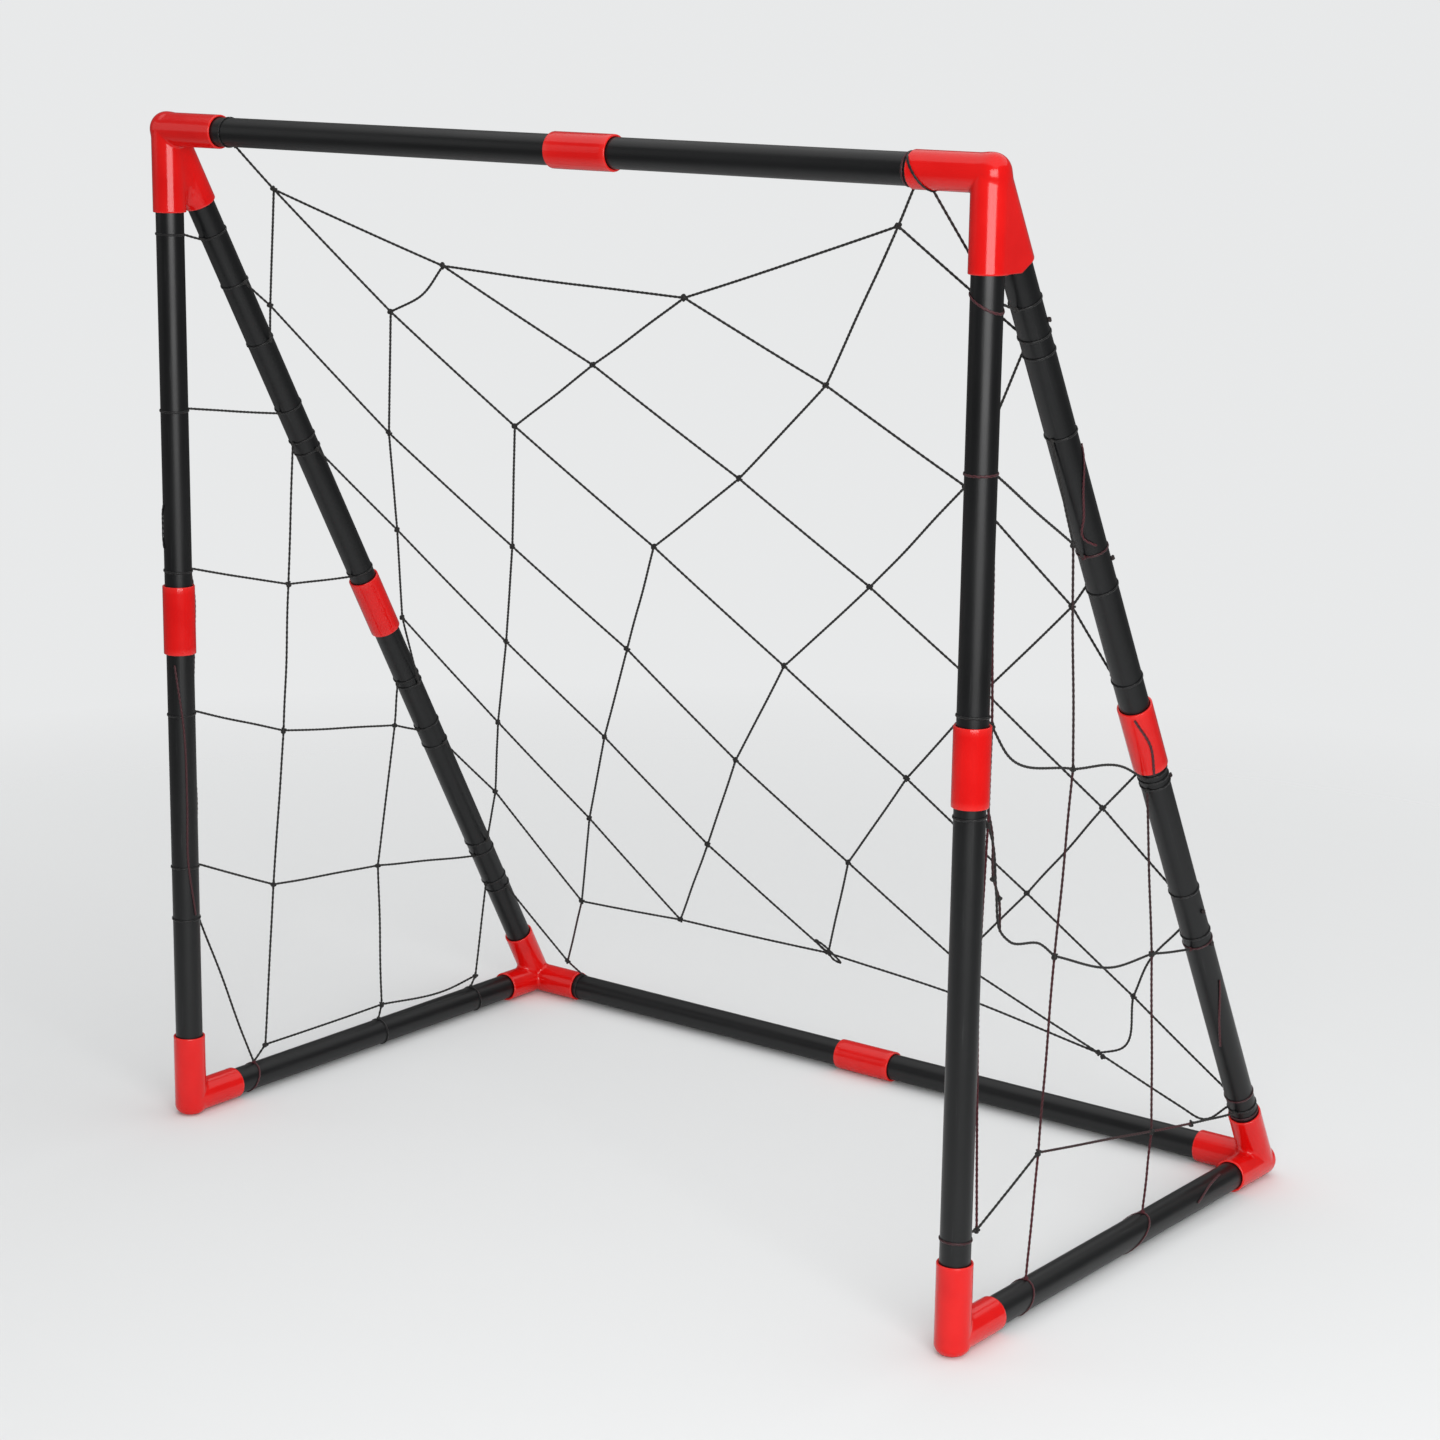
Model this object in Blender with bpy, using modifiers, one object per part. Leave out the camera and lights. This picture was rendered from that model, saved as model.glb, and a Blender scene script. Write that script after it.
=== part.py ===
# Mini soccer goal: a push-fit frame of plastic tubes in moulded connectors, with a knotted net.
# The frame is a wedge. Two upright posts and a crossbar make the mouth, and two stays slope down
# behind it to a rear bar. Side bars on the ground join the posts to the rear corners.
# +X is right as seen by a player facing the mouth, +Y runs into the net, +Z is up.

import bpy
import bmesh
import numpy as np
from math import atan2, cos, pi, radians, sin, sqrt, tan
from mathutils import Matrix, Vector

# Frame, between tube axes
frame_width = 0.860
frame_height = 0.900
frame_depth = 0.500
post_coupler_height = 0.460
stay_coupler_from_rear = 0.502
crossbar_coupler_offset = 0.048
rear_coupler_offset = 0.0

# Tubes
tube_diameter = 0.025
tube_wall = 0.0015
tube_end_gap = 0.0003

# Connectors
socket_wall = 0.0019
fit_clearance = 0.0003
corner_rounding = 0.009
branch_tail = 0.002
branch_step = 0.0002
mouth_chamfer = 0.0006
coupler_length = 0.063
coupler_stop_width = 0.003
coupler_stop_height = 0.0016
foot_flat_depth = 0.0001

top_corner_crossbar_reach = 0.066
top_corner_post_reach = 0.0725
top_corner_stay_reach = 0.075
top_corner_leg_stop = 0.054
top_corner_bar_stop = 0.027
web_thickness = 0.003

elbow_post_reach = 0.062
elbow_ground_reach = 0.056
elbow_stop = 0.026

rear_corner_stay_reach = 0.062
rear_corner_bar_reach = 0.059
rear_corner_ground_reach = 0.052
rear_corner_stop = 0.026

round_segments = 24

# Net
cord_diameter = 0.0016
knot_size = 0.0034
wrap_clearance = 0.0003
wrap_corners = 8
wrap_margin = 0.004
fork_slack = 1.4

# Worked out from the sizes above
tube_radius = tube_diameter / 2
bore_radius = tube_radius + fit_clearance
socket_radius = bore_radius + socket_wall
half_width = frame_width / 2
facet_turn = pi / round_segments
facet_radius = socket_radius * cos(facet_turn)
axis_height = facet_radius - foot_flat_depth
front_y = -frame_depth / 2
rear_y = frame_depth / 2
top_z = axis_height + frame_height
stay_length = sqrt(frame_height ** 2 + frame_depth ** 2)

UP = Vector((0, 0, 1))
BACK = Vector((0, 1, 0))
RIGHT = Vector((1, 0, 0))
STAY_DOWN = Vector((0, frame_depth, -frame_height)).normalized()


def clear_scene():
    for old in list(bpy.data.objects):
        bpy.data.objects.remove(old, do_unlink=True)


def make_collection(name):
    collection = bpy.data.collections.new(name)
    bpy.context.scene.collection.children.link(collection)
    return collection


def make_material(name, colour, roughness):
    material = bpy.data.materials.new(name)
    material.use_nodes = True
    shader = material.node_tree.nodes["Principled BSDF"]
    shader.inputs["Base Color"].default_value = (*colour, 1.0)
    shader.inputs["Roughness"].default_value = roughness
    shader.inputs["Metallic"].default_value = 0.0
    material.diffuse_color = (*colour, 1.0)
    return material


clear_scene()
parts = make_collection("mini_soccer_goal")
cutters = make_collection("cutters")
tube_black = make_material("tube_black", (0.014, 0.015, 0.016), 0.38)
connector_red = make_material("connector_red", (0.76, 0.02, 0.015), 0.30)
net_black = make_material("net_black", (0.012, 0.011, 0.011), 0.75)

goal = bpy.data.objects.new("goal_origin", None)
parts.objects.link(goal)


def add_object(name, mesh, place, material=None):
    """Puts a mesh in the scene as a named part, or as a cutter when it has no material."""
    part = bpy.data.objects.new(name, mesh)
    part.matrix_world = place
    if material is None:
        cutters.objects.link(part)
        part.hide_render = True
        part.display_type = "WIRE"
    else:
        parts.objects.link(part)
        part.parent = goal
        mesh.materials.append(material)
        mesh.shade_smooth()
        mesh.set_sharp_from_angle(angle=radians(32))
    return part


def along(start, direction):
    """The place of a piece turned about the line from start, with a flat facet facing the floor."""
    axis = Vector(direction).normalized()
    side = BACK if abs(axis.x) > 0.5 else RIGHT
    across = axis.cross(side).normalized()
    side = across.cross(axis)
    frame = Matrix((side, across, axis)).transposed().to_4x4()
    return Matrix.Translation(start) @ frame @ Matrix.Rotation(facet_turn, 4, "Z")


def turned_mesh(name, outline):
    """A closed outline of (radius, height) points turned once about Z with a Screw modifier."""
    profile = bpy.data.meshes.new(name + "_profile")
    points = [(radius, 0, height) for radius, height in outline]
    profile.from_pydata(points, [(i, (i + 1) % len(points)) for i in range(len(points))], [])
    guide = bpy.data.objects.new(name + "_profile", profile)
    cutters.objects.link(guide)
    screw = guide.modifiers.new("Turn", "SCREW")
    screw.steps = round_segments
    screw.render_steps = round_segments
    screw.use_merge_vertices = True
    screw.merge_threshold = 0.00001
    bpy.context.view_layer.update()
    evaluated = guide.evaluated_get(bpy.context.evaluated_depsgraph_get())
    mesh = bpy.data.meshes.new_from_object(evaluated)
    mesh.name = name
    bpy.data.objects.remove(guide)
    return mesh


def add_tube(name, start, end):
    """A hollow tube between two points on its axis."""
    start, end = Vector(start), Vector(end)
    length = (end - start).length
    bore = tube_radius - tube_wall
    outline = [(bore, length), (tube_radius, length), (tube_radius, 0), (bore, 0)]
    return add_object(name, turned_mesh(name, outline), along(start, end - start), tube_black)


def add_coupler(name, centre, direction):
    """A straight sleeve that joins two tubes end to end over an inner stop ring."""
    half = coupler_length / 2
    stop = coupler_stop_width / 2
    lip = socket_radius - mouth_chamfer
    waist = bore_radius - coupler_stop_height
    upper = [(waist, stop), (bore_radius, stop), (bore_radius, half), (lip, half),
             (socket_radius, half - mouth_chamfer)]
    lower = [(radius, -height) for radius, height in reversed(upper)]
    return add_object(name, turned_mesh(name, upper + lower), along(centre, direction), connector_red)


def arm_mesh(reach, steps_in=0):
    """A solid cylinder about Z with a chamfered mouth, as a bmesh.

    The full arm of a connector goes on past the crossing, and its rounded tail is the outer
    corner. Any other arm ends just past the crossing, inside the full one, and is one or more
    steps slimmer, so that no two faces of the connector fall together.
    """
    rounded_tail = steps_in == 0
    tail = socket_radius if rounded_tail else branch_tail
    radius = socket_radius - steps_in * branch_step
    shape = bmesh.new()
    bmesh.ops.create_cone(shape, cap_ends=True, segments=round_segments, radius1=radius,
                          radius2=radius, depth=tail + reach)
    bmesh.ops.translate(shape, vec=(0, 0, (reach - tail) / 2), verts=shape.verts)
    shape.edges.ensure_lookup_table()
    mouth = [e for e in shape.edges if all(v.co.z > reach - 0.0001 for v in e.verts)]
    bmesh.ops.bevel(shape, geom=mouth, offset=mouth_chamfer, segments=1, affect="EDGES")
    if rounded_tail:
        end = [e for e in shape.edges if all(v.co.z < 0.0001 - tail for v in e.verts)]
        bmesh.ops.bevel(shape, geom=end, offset=corner_rounding, segments=3, profile=0.5,
                        affect="EDGES")
    return shape


def finish_mesh(name, shape):
    mesh = bpy.data.meshes.new(name)
    bmesh.ops.recalc_face_normals(shape, faces=shape.faces)
    shape.to_mesh(mesh)
    shape.free()
    return mesh


def join_solid(target, name, mesh, place, operation):
    """Unites a helper solid with the target, or cuts it away, with an exact Boolean."""
    helper = add_object(name, mesh, place)
    modifier = target.modifiers.new(name, "BOOLEAN")
    modifier.operation = operation
    modifier.solver = "EXACT"
    modifier.object = helper
    return helper


def add_branch(target, name, crossing, direction, reach):
    mesh = finish_mesh(name, arm_mesh(reach, 1))
    return join_solid(target, name, mesh, along(crossing, direction), "UNION")


def bore_arm(target, name, crossing, direction, stop, reach):
    """Cuts the round socket that a tube is pushed into, from its stop to past the mouth."""
    shape = bmesh.new()
    overshoot = 0.005
    depth = reach + overshoot - stop
    bmesh.ops.create_cone(shape, cap_ends=True, segments=round_segments, radius1=bore_radius,
                          radius2=bore_radius, depth=depth)
    bmesh.ops.translate(shape, vec=(0, 0, stop + depth / 2), verts=shape.verts)
    mesh = finish_mesh(name, shape)
    return join_solid(target, name, mesh, along(crossing, direction), "DIFFERENCE")


def cut_foot_flat(target, name, centre):
    """Takes a thin slice off the underside, so that what stands on the floor stands on a flat."""
    shape = bmesh.new()
    bmesh.ops.create_cube(shape, size=1.0)
    reach = 2 * max(elbow_ground_reach, rear_corner_bar_reach, rear_corner_ground_reach) + 0.02
    slab = 0.010
    bmesh.ops.scale(shape, vec=(reach, reach, slab), verts=shape.verts)
    mesh = finish_mesh(name, shape)
    place = Matrix.Translation((centre.x, centre.y, -slab / 2))
    return join_solid(target, name, mesh, place, "DIFFERENCE")


def leg_web(side):
    """The plate that closes the fork between the post and stay sockets on its outer side.

    It is the outermost slice of one hull round both legs, so it runs from each socket's side to
    the other's. On the inner side the two sockets stay round, with the fork open between them.
    """
    steps_in = 2
    hull = bmesh.new()
    for direction, reach in ((-UP, top_corner_post_reach), (STAY_DOWN, top_corner_stay_reach)):
        arm = arm_mesh(reach - mouth_chamfer, steps_in)
        arm.transform(along((0, 0, 0), direction))
        for vertex in arm.verts:
            hull.verts.new(vertex.co)
        arm.free()
    bmesh.ops.convex_hull(hull, input=hull.verts)
    loose = [v for v in hull.verts if not v.link_faces]
    bmesh.ops.delete(hull, geom=loose, context="VERTS")
    bmesh.ops.dissolve_limit(hull, angle_limit=radians(0.5), verts=hull.verts, edges=hull.edges)
    outer = (socket_radius - steps_in * branch_step) * cos(facet_turn)
    geometry = hull.verts[:] + hull.edges[:] + hull.faces[:]
    cut = bmesh.ops.bisect_plane(hull, geom=geometry, plane_co=(side * (outer - web_thickness), 0, 0),
                                 plane_no=(-side, 0, 0), clear_outer=True)["geom_cut"]
    rim = [edge for edge in cut if isinstance(edge, bmesh.types.BMEdge)]
    bmesh.ops.holes_fill(hull, edges=rim)
    return hull


def add_top_corner(name, side):
    """Three-way corner: crossbar socket, post socket and stay socket with a web between the legs."""
    crossing = Vector((side * half_width, front_y, top_z))
    inward = -side * RIGHT
    mesh = finish_mesh(name, arm_mesh(top_corner_post_reach))
    corner = add_object(name, mesh, along(crossing, -UP), connector_red)
    add_branch(corner, name + "_stay_arm", crossing, STAY_DOWN, top_corner_stay_reach)
    add_branch(corner, name + "_crossbar_arm", crossing, inward, top_corner_crossbar_reach)
    web = finish_mesh(name + "_web", leg_web(side))
    join_solid(corner, name + "_web", web, Matrix.Translation(crossing), "UNION")
    bore_arm(corner, name + "_crossbar_bore", crossing, inward, top_corner_bar_stop,
             top_corner_crossbar_reach)
    bore_arm(corner, name + "_post_bore", crossing, -UP, top_corner_leg_stop, top_corner_post_reach)
    bore_arm(corner, name + "_stay_bore", crossing, STAY_DOWN, top_corner_leg_stop,
             top_corner_stay_reach)
    return corner


def add_front_elbow(name, side):
    """Two-way elbow at the foot of a post, with its socket for the side bar on the ground."""
    crossing = Vector((side * half_width, front_y, axis_height))
    mesh = finish_mesh(name, arm_mesh(elbow_post_reach))
    elbow = add_object(name, mesh, along(crossing, UP), connector_red)
    add_branch(elbow, name + "_ground_arm", crossing, BACK, elbow_ground_reach)
    bore_arm(elbow, name + "_post_bore", crossing, UP, elbow_stop, elbow_post_reach)
    bore_arm(elbow, name + "_ground_bore", crossing, BACK, elbow_stop, elbow_ground_reach)
    cut_foot_flat(elbow, name + "_foot", crossing)
    return elbow


def add_rear_corner(name, side):
    """Three-way corner on the ground: rear bar socket, side bar socket and stay socket."""
    crossing = Vector((side * half_width, rear_y, axis_height))
    inward = -side * RIGHT
    mesh = finish_mesh(name, arm_mesh(rear_corner_ground_reach))
    corner = add_object(name, mesh, along(crossing, -BACK), connector_red)
    add_branch(corner, name + "_bar_arm", crossing, inward, rear_corner_bar_reach)
    add_branch(corner, name + "_stay_arm", crossing, -STAY_DOWN, rear_corner_stay_reach)
    bore_arm(corner, name + "_ground_bore", crossing, -BACK, rear_corner_stop, rear_corner_ground_reach)
    bore_arm(corner, name + "_bar_bore", crossing, inward, rear_corner_stop, rear_corner_bar_reach)
    bore_arm(corner, name + "_stay_bore", crossing, -STAY_DOWN, rear_corner_stop,
             rear_corner_stay_reach)
    cut_foot_flat(corner, name + "_foot", crossing)
    return corner


def add_tube_pair(names, start, end, stops, mouths, coupler_at, coupler_name):
    """Two tubes in line from one connector's stop to the other's, with a coupler where they meet.

    The bare stretch of each tube, which shows between its sockets, is kept for the net.
    """
    start, end = Vector(start), Vector(end)
    direction = (end - start).normalized()
    rib = coupler_stop_width / 2 + tube_end_gap
    first = start + direction * (stops[0] + tube_end_gap)
    middle = start + direction * coupler_at
    last = end - direction * (stops[1] + tube_end_gap)
    add_tube(names[0], first, middle - direction * rib)
    add_tube(names[1], middle + direction * rib, last)
    coupler = add_coupler(coupler_name, middle, direction)
    if middle.z < socket_radius:
        cut_foot_flat(coupler, coupler_name + "_foot", middle)
    sleeve = direction * coupler_length / 2
    bare[names[0]] = (start + direction * mouths[0], middle - sleeve)
    bare[names[1]] = (middle + sleeve, end - direction * mouths[1])


bare = {}


for side, hand in ((-1, "left"), (1, "right")):
    x = side * half_width
    add_top_corner("top_corner_" + hand, side)
    add_front_elbow("front_elbow_" + hand, side)
    add_rear_corner("rear_corner_" + hand, side)
    add_tube_pair(("post_lower_" + hand, "post_upper_" + hand), (x, front_y, axis_height),
                  (x, front_y, top_z), (elbow_stop, top_corner_leg_stop),
                  (elbow_post_reach, top_corner_post_reach), post_coupler_height,
                  "post_coupler_" + hand)
    add_tube_pair(("stay_lower_" + hand, "stay_upper_" + hand), (x, rear_y, axis_height),
                  (x, front_y, top_z), (rear_corner_stop, top_corner_leg_stop),
                  (rear_corner_stay_reach, top_corner_stay_reach), stay_coupler_from_rear,
                  "stay_coupler_" + hand)
    add_tube("ground_bar_" + hand, (x, front_y + elbow_stop + tube_end_gap, axis_height),
             (x, rear_y - rear_corner_stop - tube_end_gap, axis_height))
    bare["ground_bar_" + hand] = (Vector((x, front_y + elbow_ground_reach, axis_height)),
                                  Vector((x, rear_y - rear_corner_ground_reach, axis_height)))

add_tube_pair(("crossbar_left", "crossbar_right"), (-half_width, front_y, top_z),
              (half_width, front_y, top_z), (top_corner_bar_stop, top_corner_bar_stop),
              (top_corner_crossbar_reach, top_corner_crossbar_reach),
              half_width + crossbar_coupler_offset, "crossbar_coupler")
add_tube_pair(("rear_bar_left", "rear_bar_right"), (-half_width, rear_y, axis_height),
              (half_width, rear_y, axis_height), (rear_corner_stop, rear_corner_stop),
              (rear_corner_bar_reach, rear_corner_bar_reach),
              half_width + rear_coupler_offset, "rear_bar_coupler")


class Net:
    """One panel of netting: cords that meet in knots and are wrapped round the bare tubes.

    Places are kept by name. A place where three or more cords meet is a knot, and one where two
    meet is only a bend. The panel becomes one closed mesh: a square-cornered sweep along each
    cord, and at each knot the convex hull of the cord ends that come to it.
    """

    def __init__(self, normal):
        self.normal = Vector(normal).normalized()
        self.places = {}
        self.cords = []
        self.swell = set()

    def add_knots(self, knots, to_world):
        for name, (across, down) in knots.items():
            self.places[name] = to_world(across, down)
            self.swell.add(name)

    def add_cord(self, names, normal=None):
        self.cords.append((names, normal or self.normal))

    def add_wrap(self, name, tube, share, facing):
        """A turn of cord round a tube, with a flat side where the net's cord leaves it."""
        start, end = bare[tube]
        axis = (end - start).normalized()
        margin = axis * wrap_margin
        centre = (start + margin).lerp(end - margin, share)
        out = (facing - axis * facing.dot(axis)).normalized()
        around = axis.cross(out)
        flat = tube_radius + wrap_clearance + cord_diameter / 2
        self.places[name] = centre + out * flat
        step = 2 * pi / wrap_corners
        corners = []
        for i in range(wrap_corners):
            angle = (i + 0.5) * step
            corner = name + "_turn_" + str(i)
            reach = flat / cos(step / 2)
            self.places[corner] = centre + (out * cos(angle) + around * sin(angle)) * reach
            corners.append(corner)
        self.add_cord([name] + corners + [name], axis)

    def ends(self):
        """The direction of each cord end at each place where it isn't simply passing a bend."""
        count = {}
        for names, _ in self.cords:
            for i, name in enumerate(names):
                inner = 0 < i < len(names) - 1
                count[name] = count.get(name, 0) + (2 if inner else 1)
        return count

    def build(self, name, material):
        shape = bmesh.new()
        count = self.ends()
        runs = []
        for names, normal in self.cords:
            run = [names[0]]
            for place in names[1:]:
                run.append(place)
                if count[place] > 2 or place == names[-1]:
                    runs.append((run, normal))
                    run = [place]
        knots = {}
        for index, (run, _) in enumerate(runs):
            for end, neighbour in ((0, 1), (-1, -2)):
                away = (self.places[run[neighbour]] - self.places[run[end]]).normalized()
                knots.setdefault(run[end], []).append((index, end, away))
        setback = {place: self.setback([away for _, _, away in arms])
                   for place, arms in knots.items()}
        sections = {}
        for index, (run, normal) in enumerate(runs):
            rings = self.sweep(shape, run, normal, setback)
            sections[index, 0] = rings[0]
            sections[index, -1] = rings[-1]
        for place, arms in knots.items():
            caps = [sections[index, end] for index, end, _ in arms]
            if len(caps) == 1:
                shape.faces.new(caps[0])
            else:
                self.tie(shape, place, caps)
        return add_object(name, finish_mesh(name, shape), Matrix.Identity(4), material)

    def setback(self, directions):
        """How far from the knot its cords start, so that no two of them touch beside it."""
        closest = 90.0
        for i, first in enumerate(directions):
            for second in directions[i + 1:]:
                closest = min(closest, max(12.0, first.angle(second) * 180 / pi))
        return fork_slack * cord_diameter / 2 / tan(radians(closest) / 2)

    def sweep(self, shape, run, normal, setback):
        """A cord of square section, mitred at its bends, with a corner towards the normal."""
        points = [self.places[name].copy() for name in run]
        first = (points[1] - points[0]).normalized()
        last = (points[-1] - points[-2]).normalized()
        points[0] += first * setback[run[0]]
        points[-1] -= last * setback[run[-1]]
        rings = []
        for i, point in enumerate(points):
            before = (point - points[i - 1]).normalized() if i else first
            after = (points[i + 1] - point).normalized() if i < len(points) - 1 else last
            forward = (before + after).normalized()
            aside = forward.cross(normal).normalized()
            up = aside.cross(forward)
            radius = cord_diameter / 2
            widen = radius / max(0.3, forward.dot(before))
            bend = after - before
            if abs(bend.dot(up)) > abs(bend.dot(aside)):
                spokes = (up * widen, aside * radius, -up * widen, -aside * radius)
            else:
                spokes = (up * radius, aside * widen, -up * radius, -aside * widen)
            rings.append([shape.verts.new(point + spoke) for spoke in spokes])
        for lower, upper in zip(rings, rings[1:]):
            for i in range(4):
                j = (i + 1) % 4
                shape.faces.new((lower[i], lower[j], upper[j], upper[i]))
        return rings

    def tie(self, shape, place, caps):
        """Closes a knot with the hull of its cord ends, swollen by the turns of the knot."""
        corners = [vertex for cap in caps for vertex in cap]
        if place in self.swell:
            for side in (-1, 1):
                swelling = self.places[place] + self.normal * side * knot_size / 2
                corners.append(shape.verts.new(swelling))
        faces = bmesh.ops.convex_hull(shape, input=corners, use_existing_faces=False)["geom"]
        owner = {vertex: k for k, cap in enumerate(caps) for vertex in cap}
        lids = []
        for face in faces:
            if isinstance(face, bmesh.types.BMFace):
                owners = {owner.get(vertex, -1) for vertex in face.verts}
                if len(owners) == 1 and -1 not in owners:
                    lids.append(face)
        bmesh.ops.delete(shape, geom=lids, context="FACES")


def on_back(across, down):
    """A place on the back panel, by its shares of the width and of the way down the stays."""
    return (Vector((-half_width + across * frame_width, front_y, top_z))
            + STAY_DOWN * down * stay_length)


def on_side(side):
    """Places on a side panel, by their shares of the depth and of the height."""
    def place(back, up):
        return Vector((side * half_width, front_y + back * frame_depth,
                       axis_height + up * frame_height))
    return place


back_normal = RIGHT.cross(STAY_DOWN)

# The back panel hangs askew, so its two families of cord both slope. Its top edge hangs free
# between the two top corners, and its bottom edge hangs free above the rear bar.
back_knots = {
    "t1": (0.12, 0.054), "t2": (0.317, 0.118), "t3": (0.616, 0.129), "t4": (0.888, 0.049),
    "b4": (0.752, 0.20), "b5": (0.878, 0.283), "b6": (0.96, 0.389),
    "c3": (0.469, 0.204), "c4": (0.607, 0.304), "c5": (0.727, 0.40), "c6": (0.828, 0.494),
    "c7": (0.93, 0.602),
    "d2": (0.217, 0.17), "d3": (0.33, 0.278), "d4": (0.461, 0.391), "d5": (0.581, 0.504),
    "d6": (0.694, 0.611), "d7": (0.804, 0.722), "d8": (0.901, 0.823),
    "e1": (0.04, 0.176), "e2": (0.14, 0.303), "e3": (0.257, 0.415), "e4": (0.368, 0.516),
    "e5": (0.466, 0.629), "e6": (0.575, 0.731), "e7": (0.681, 0.829), "e8": (0.834, 0.908),
    "f2": (0.089, 0.416), "f3": (0.188, 0.533), "f4": (0.282, 0.632), "f5": (0.377, 0.747),
    "f6": (0.499, 0.859),
    "g2": (0.036, 0.525), "g3": (0.121, 0.64), "g4": (0.206, 0.746), "g5": (0.288, 0.861),
    "h3": (0.067, 0.737), "h4": (0.136, 0.868), "i4": (0.067, 0.965),
}
back_bends = {"slack_1": (0.268, 0.151), "slack_2": (0.93, 0.778), "slack_3": (0.865, 0.895),
              "hem_1": (0.67, 0.875), "hem_2": (0.94, 0.962)}
back_wraps = {
    "bar_left": ("crossbar_left", 0.02), "bar_right": ("crossbar_right", 1.0),
    "left_1": ("stay_upper_left", 0.807), "left_2": ("stay_upper_left", 0.655),
    "left_3": ("stay_upper_left", 0.36), "left_4": ("stay_lower_left", 0.843),
    "left_5": ("stay_lower_left", 0.652), "left_6": ("stay_lower_left", 0.325),
    "left_7": ("stay_lower_left", 0.165), "foot": ("rear_bar_left", 0.0),
    "right_1": ("stay_upper_right", 0.858), "right_2": ("stay_upper_right", 0.285),
    "right_3": ("stay_upper_right", 0.06), "right_4": ("stay_lower_right", 0.983),
    "right_5": ("stay_lower_right", 0.667), "right_6": ("stay_lower_right", 0.545),
    "right_7": ("stay_lower_right", 0.055), "right_8": ("stay_lower_right", 0.0),
    "right_9": ("stay_upper_right", 0.82),
}
back_cords = (
    "bar_left t1 t2 t3 t4 bar_right",
    "t4 right_1",
    "t3 b4 b5 b6 right_3",
    "t2 c3 c4 c5 c6 c7 right_5",
    "t1 d2 d3 d4 d5 d6 d7 d8 right_7",
    "left_1 e1 e2 e3 e4 e5 e6 e7 e8",
    "left_3 f2 f3 f4 f5 f6",
    "g2 g3 g4 g5",
    "left_5 h3 h4",
    "t1 e1 left_2",
    "t2 slack_1 d2 e2 f2 g2 left_4",
    "t3 c3 d3 e3 f3 g3 h3 left_6",
    "t4 b4 c4 d4 e4 f4 g4 h4 i4 foot",
    "right_9 b5 c5 d5 e5 f5 g5",
    "right_2 b6 c6 d6 e6 f6",
    "right_4 c7 d7 e7",
    "right_6 slack_2 d8 slack_3 e8",
    "left_7 i4",
    "h4 g5 f6 hem_1 e8 hem_2 right_8",
)

# The left panel is drawn fairly tight between post, stay and side bar.
left_knots = {
    "c1": (0.279, 0.526), "d1": (0.26, 0.37), "d2": (0.567, 0.346),
    "e1": (0.226, 0.205), "e2": (0.515, 0.192),
    "f1": (0.197, 0.03), "f2": (0.522, 0.03), "f3": (0.804, 0.026),
}
left_bends = {"hem_1": (0.718, 0.021), "edge_1": (0.036, 0.80), "edge_2": (0.036, 0.64),
              "edge_3": (0.044, 0.49), "edge_4": (0.036, 0.32)}
left_wraps = {
    "post_1": ("post_upper", 0.953), "post_2": ("post_upper", 0.475),
    "post_3": ("post_upper", 0.03), "post_4": ("post_lower", 0.853),
    "post_5": ("post_lower", 0.448), "post_6": ("post_lower", 0.31),
    "stay_1": ("stay_upper", 0.935), "stay_2": ("stay_upper", 0.393),
    "stay_3": ("stay_upper", 0.48), "stay_4": ("stay_upper", 0.015),
    "stay_5": ("stay_lower", 0.863), "stay_6": ("stay_lower", 0.713),
    "stay_7": ("stay_lower", 0.29), "stay_8": ("stay_lower", 0.193),
    "foot_1": ("ground_bar", 0.043), "foot_2": ("ground_bar", 0.512),
    "foot_3": ("ground_bar", 0.875),
}
left_cords = (
    "post_1 stay_1",
    "post_2 stay_3",
    "post_3 c1 stay_4",
    "post_4 d1 d2 stay_6",
    "post_5 e1 e2 stay_7",
    "post_6 foot_1",
    "stay_2 c1 d1 e1 f1 foot_1",
    "stay_5 d2 e2 f2 foot_2",
    "stay_8 f3 foot_3",
    "f1 f2 hem_1 f3",
    "post_1 edge_1 post_2 edge_2 post_3 edge_3 post_4 edge_4 post_5 post_6",
)

# The right panel is slack: its rows sag, and its front edge cord hangs loose behind the post.
right_knots = {
    "b1": (0.27, 0.68), "c0": (0.054, 0.54), "c1": (0.297, 0.478), "d0": (0.052, 0.455),
    "d1": (0.263, 0.311), "d2": (0.577, 0.272), "e0": (0.06, 0.088), "e1": (0.237, 0.131),
    "e2": (0.605, 0.093), "e3": (0.745, 0.079),
}
right_bends = {"loop_1": (0.067, 0.438), "loop_2": (0.082, 0.392), "loop_3": (0.098, 0.356),
               "loop_4": (0.126, 0.343), "loop_5": (0.219, 0.328), "sag_1": (0.101, 0.511),
               "sag_2": (0.46, 0.463), "sag_3": (0.454, 0.276), "sag_4": (0.648, 0.265),
               "sag_5": (0.247, 0.21), "sag_6": (0.40, 0.115), "edge_1": (0.036, 0.82),
               "edge_2": (0.045, 0.66), "edge_3": (0.042, 0.30)}
right_wraps = {
    "post_1": ("post_upper", 0.95), "post_2": ("post_upper", 0.568),
    "post_3": ("post_upper", 0.01), "post_4": ("post_lower", 0.99),
    "post_5": ("post_lower", 0.043),
    "stay_1": ("stay_upper", 0.93), "stay_2": ("stay_upper", 0.642),
    "stay_3": ("stay_upper", 0.375), "stay_4": ("stay_lower", 1.0),
    "stay_5": ("stay_lower", 0.966), "stay_6": ("stay_lower", 0.52),
    "stay_7": ("stay_lower", 0.02), "foot_1": ("ground_bar", 0.098),
    "foot_2": ("ground_bar", 0.555),
}
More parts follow.
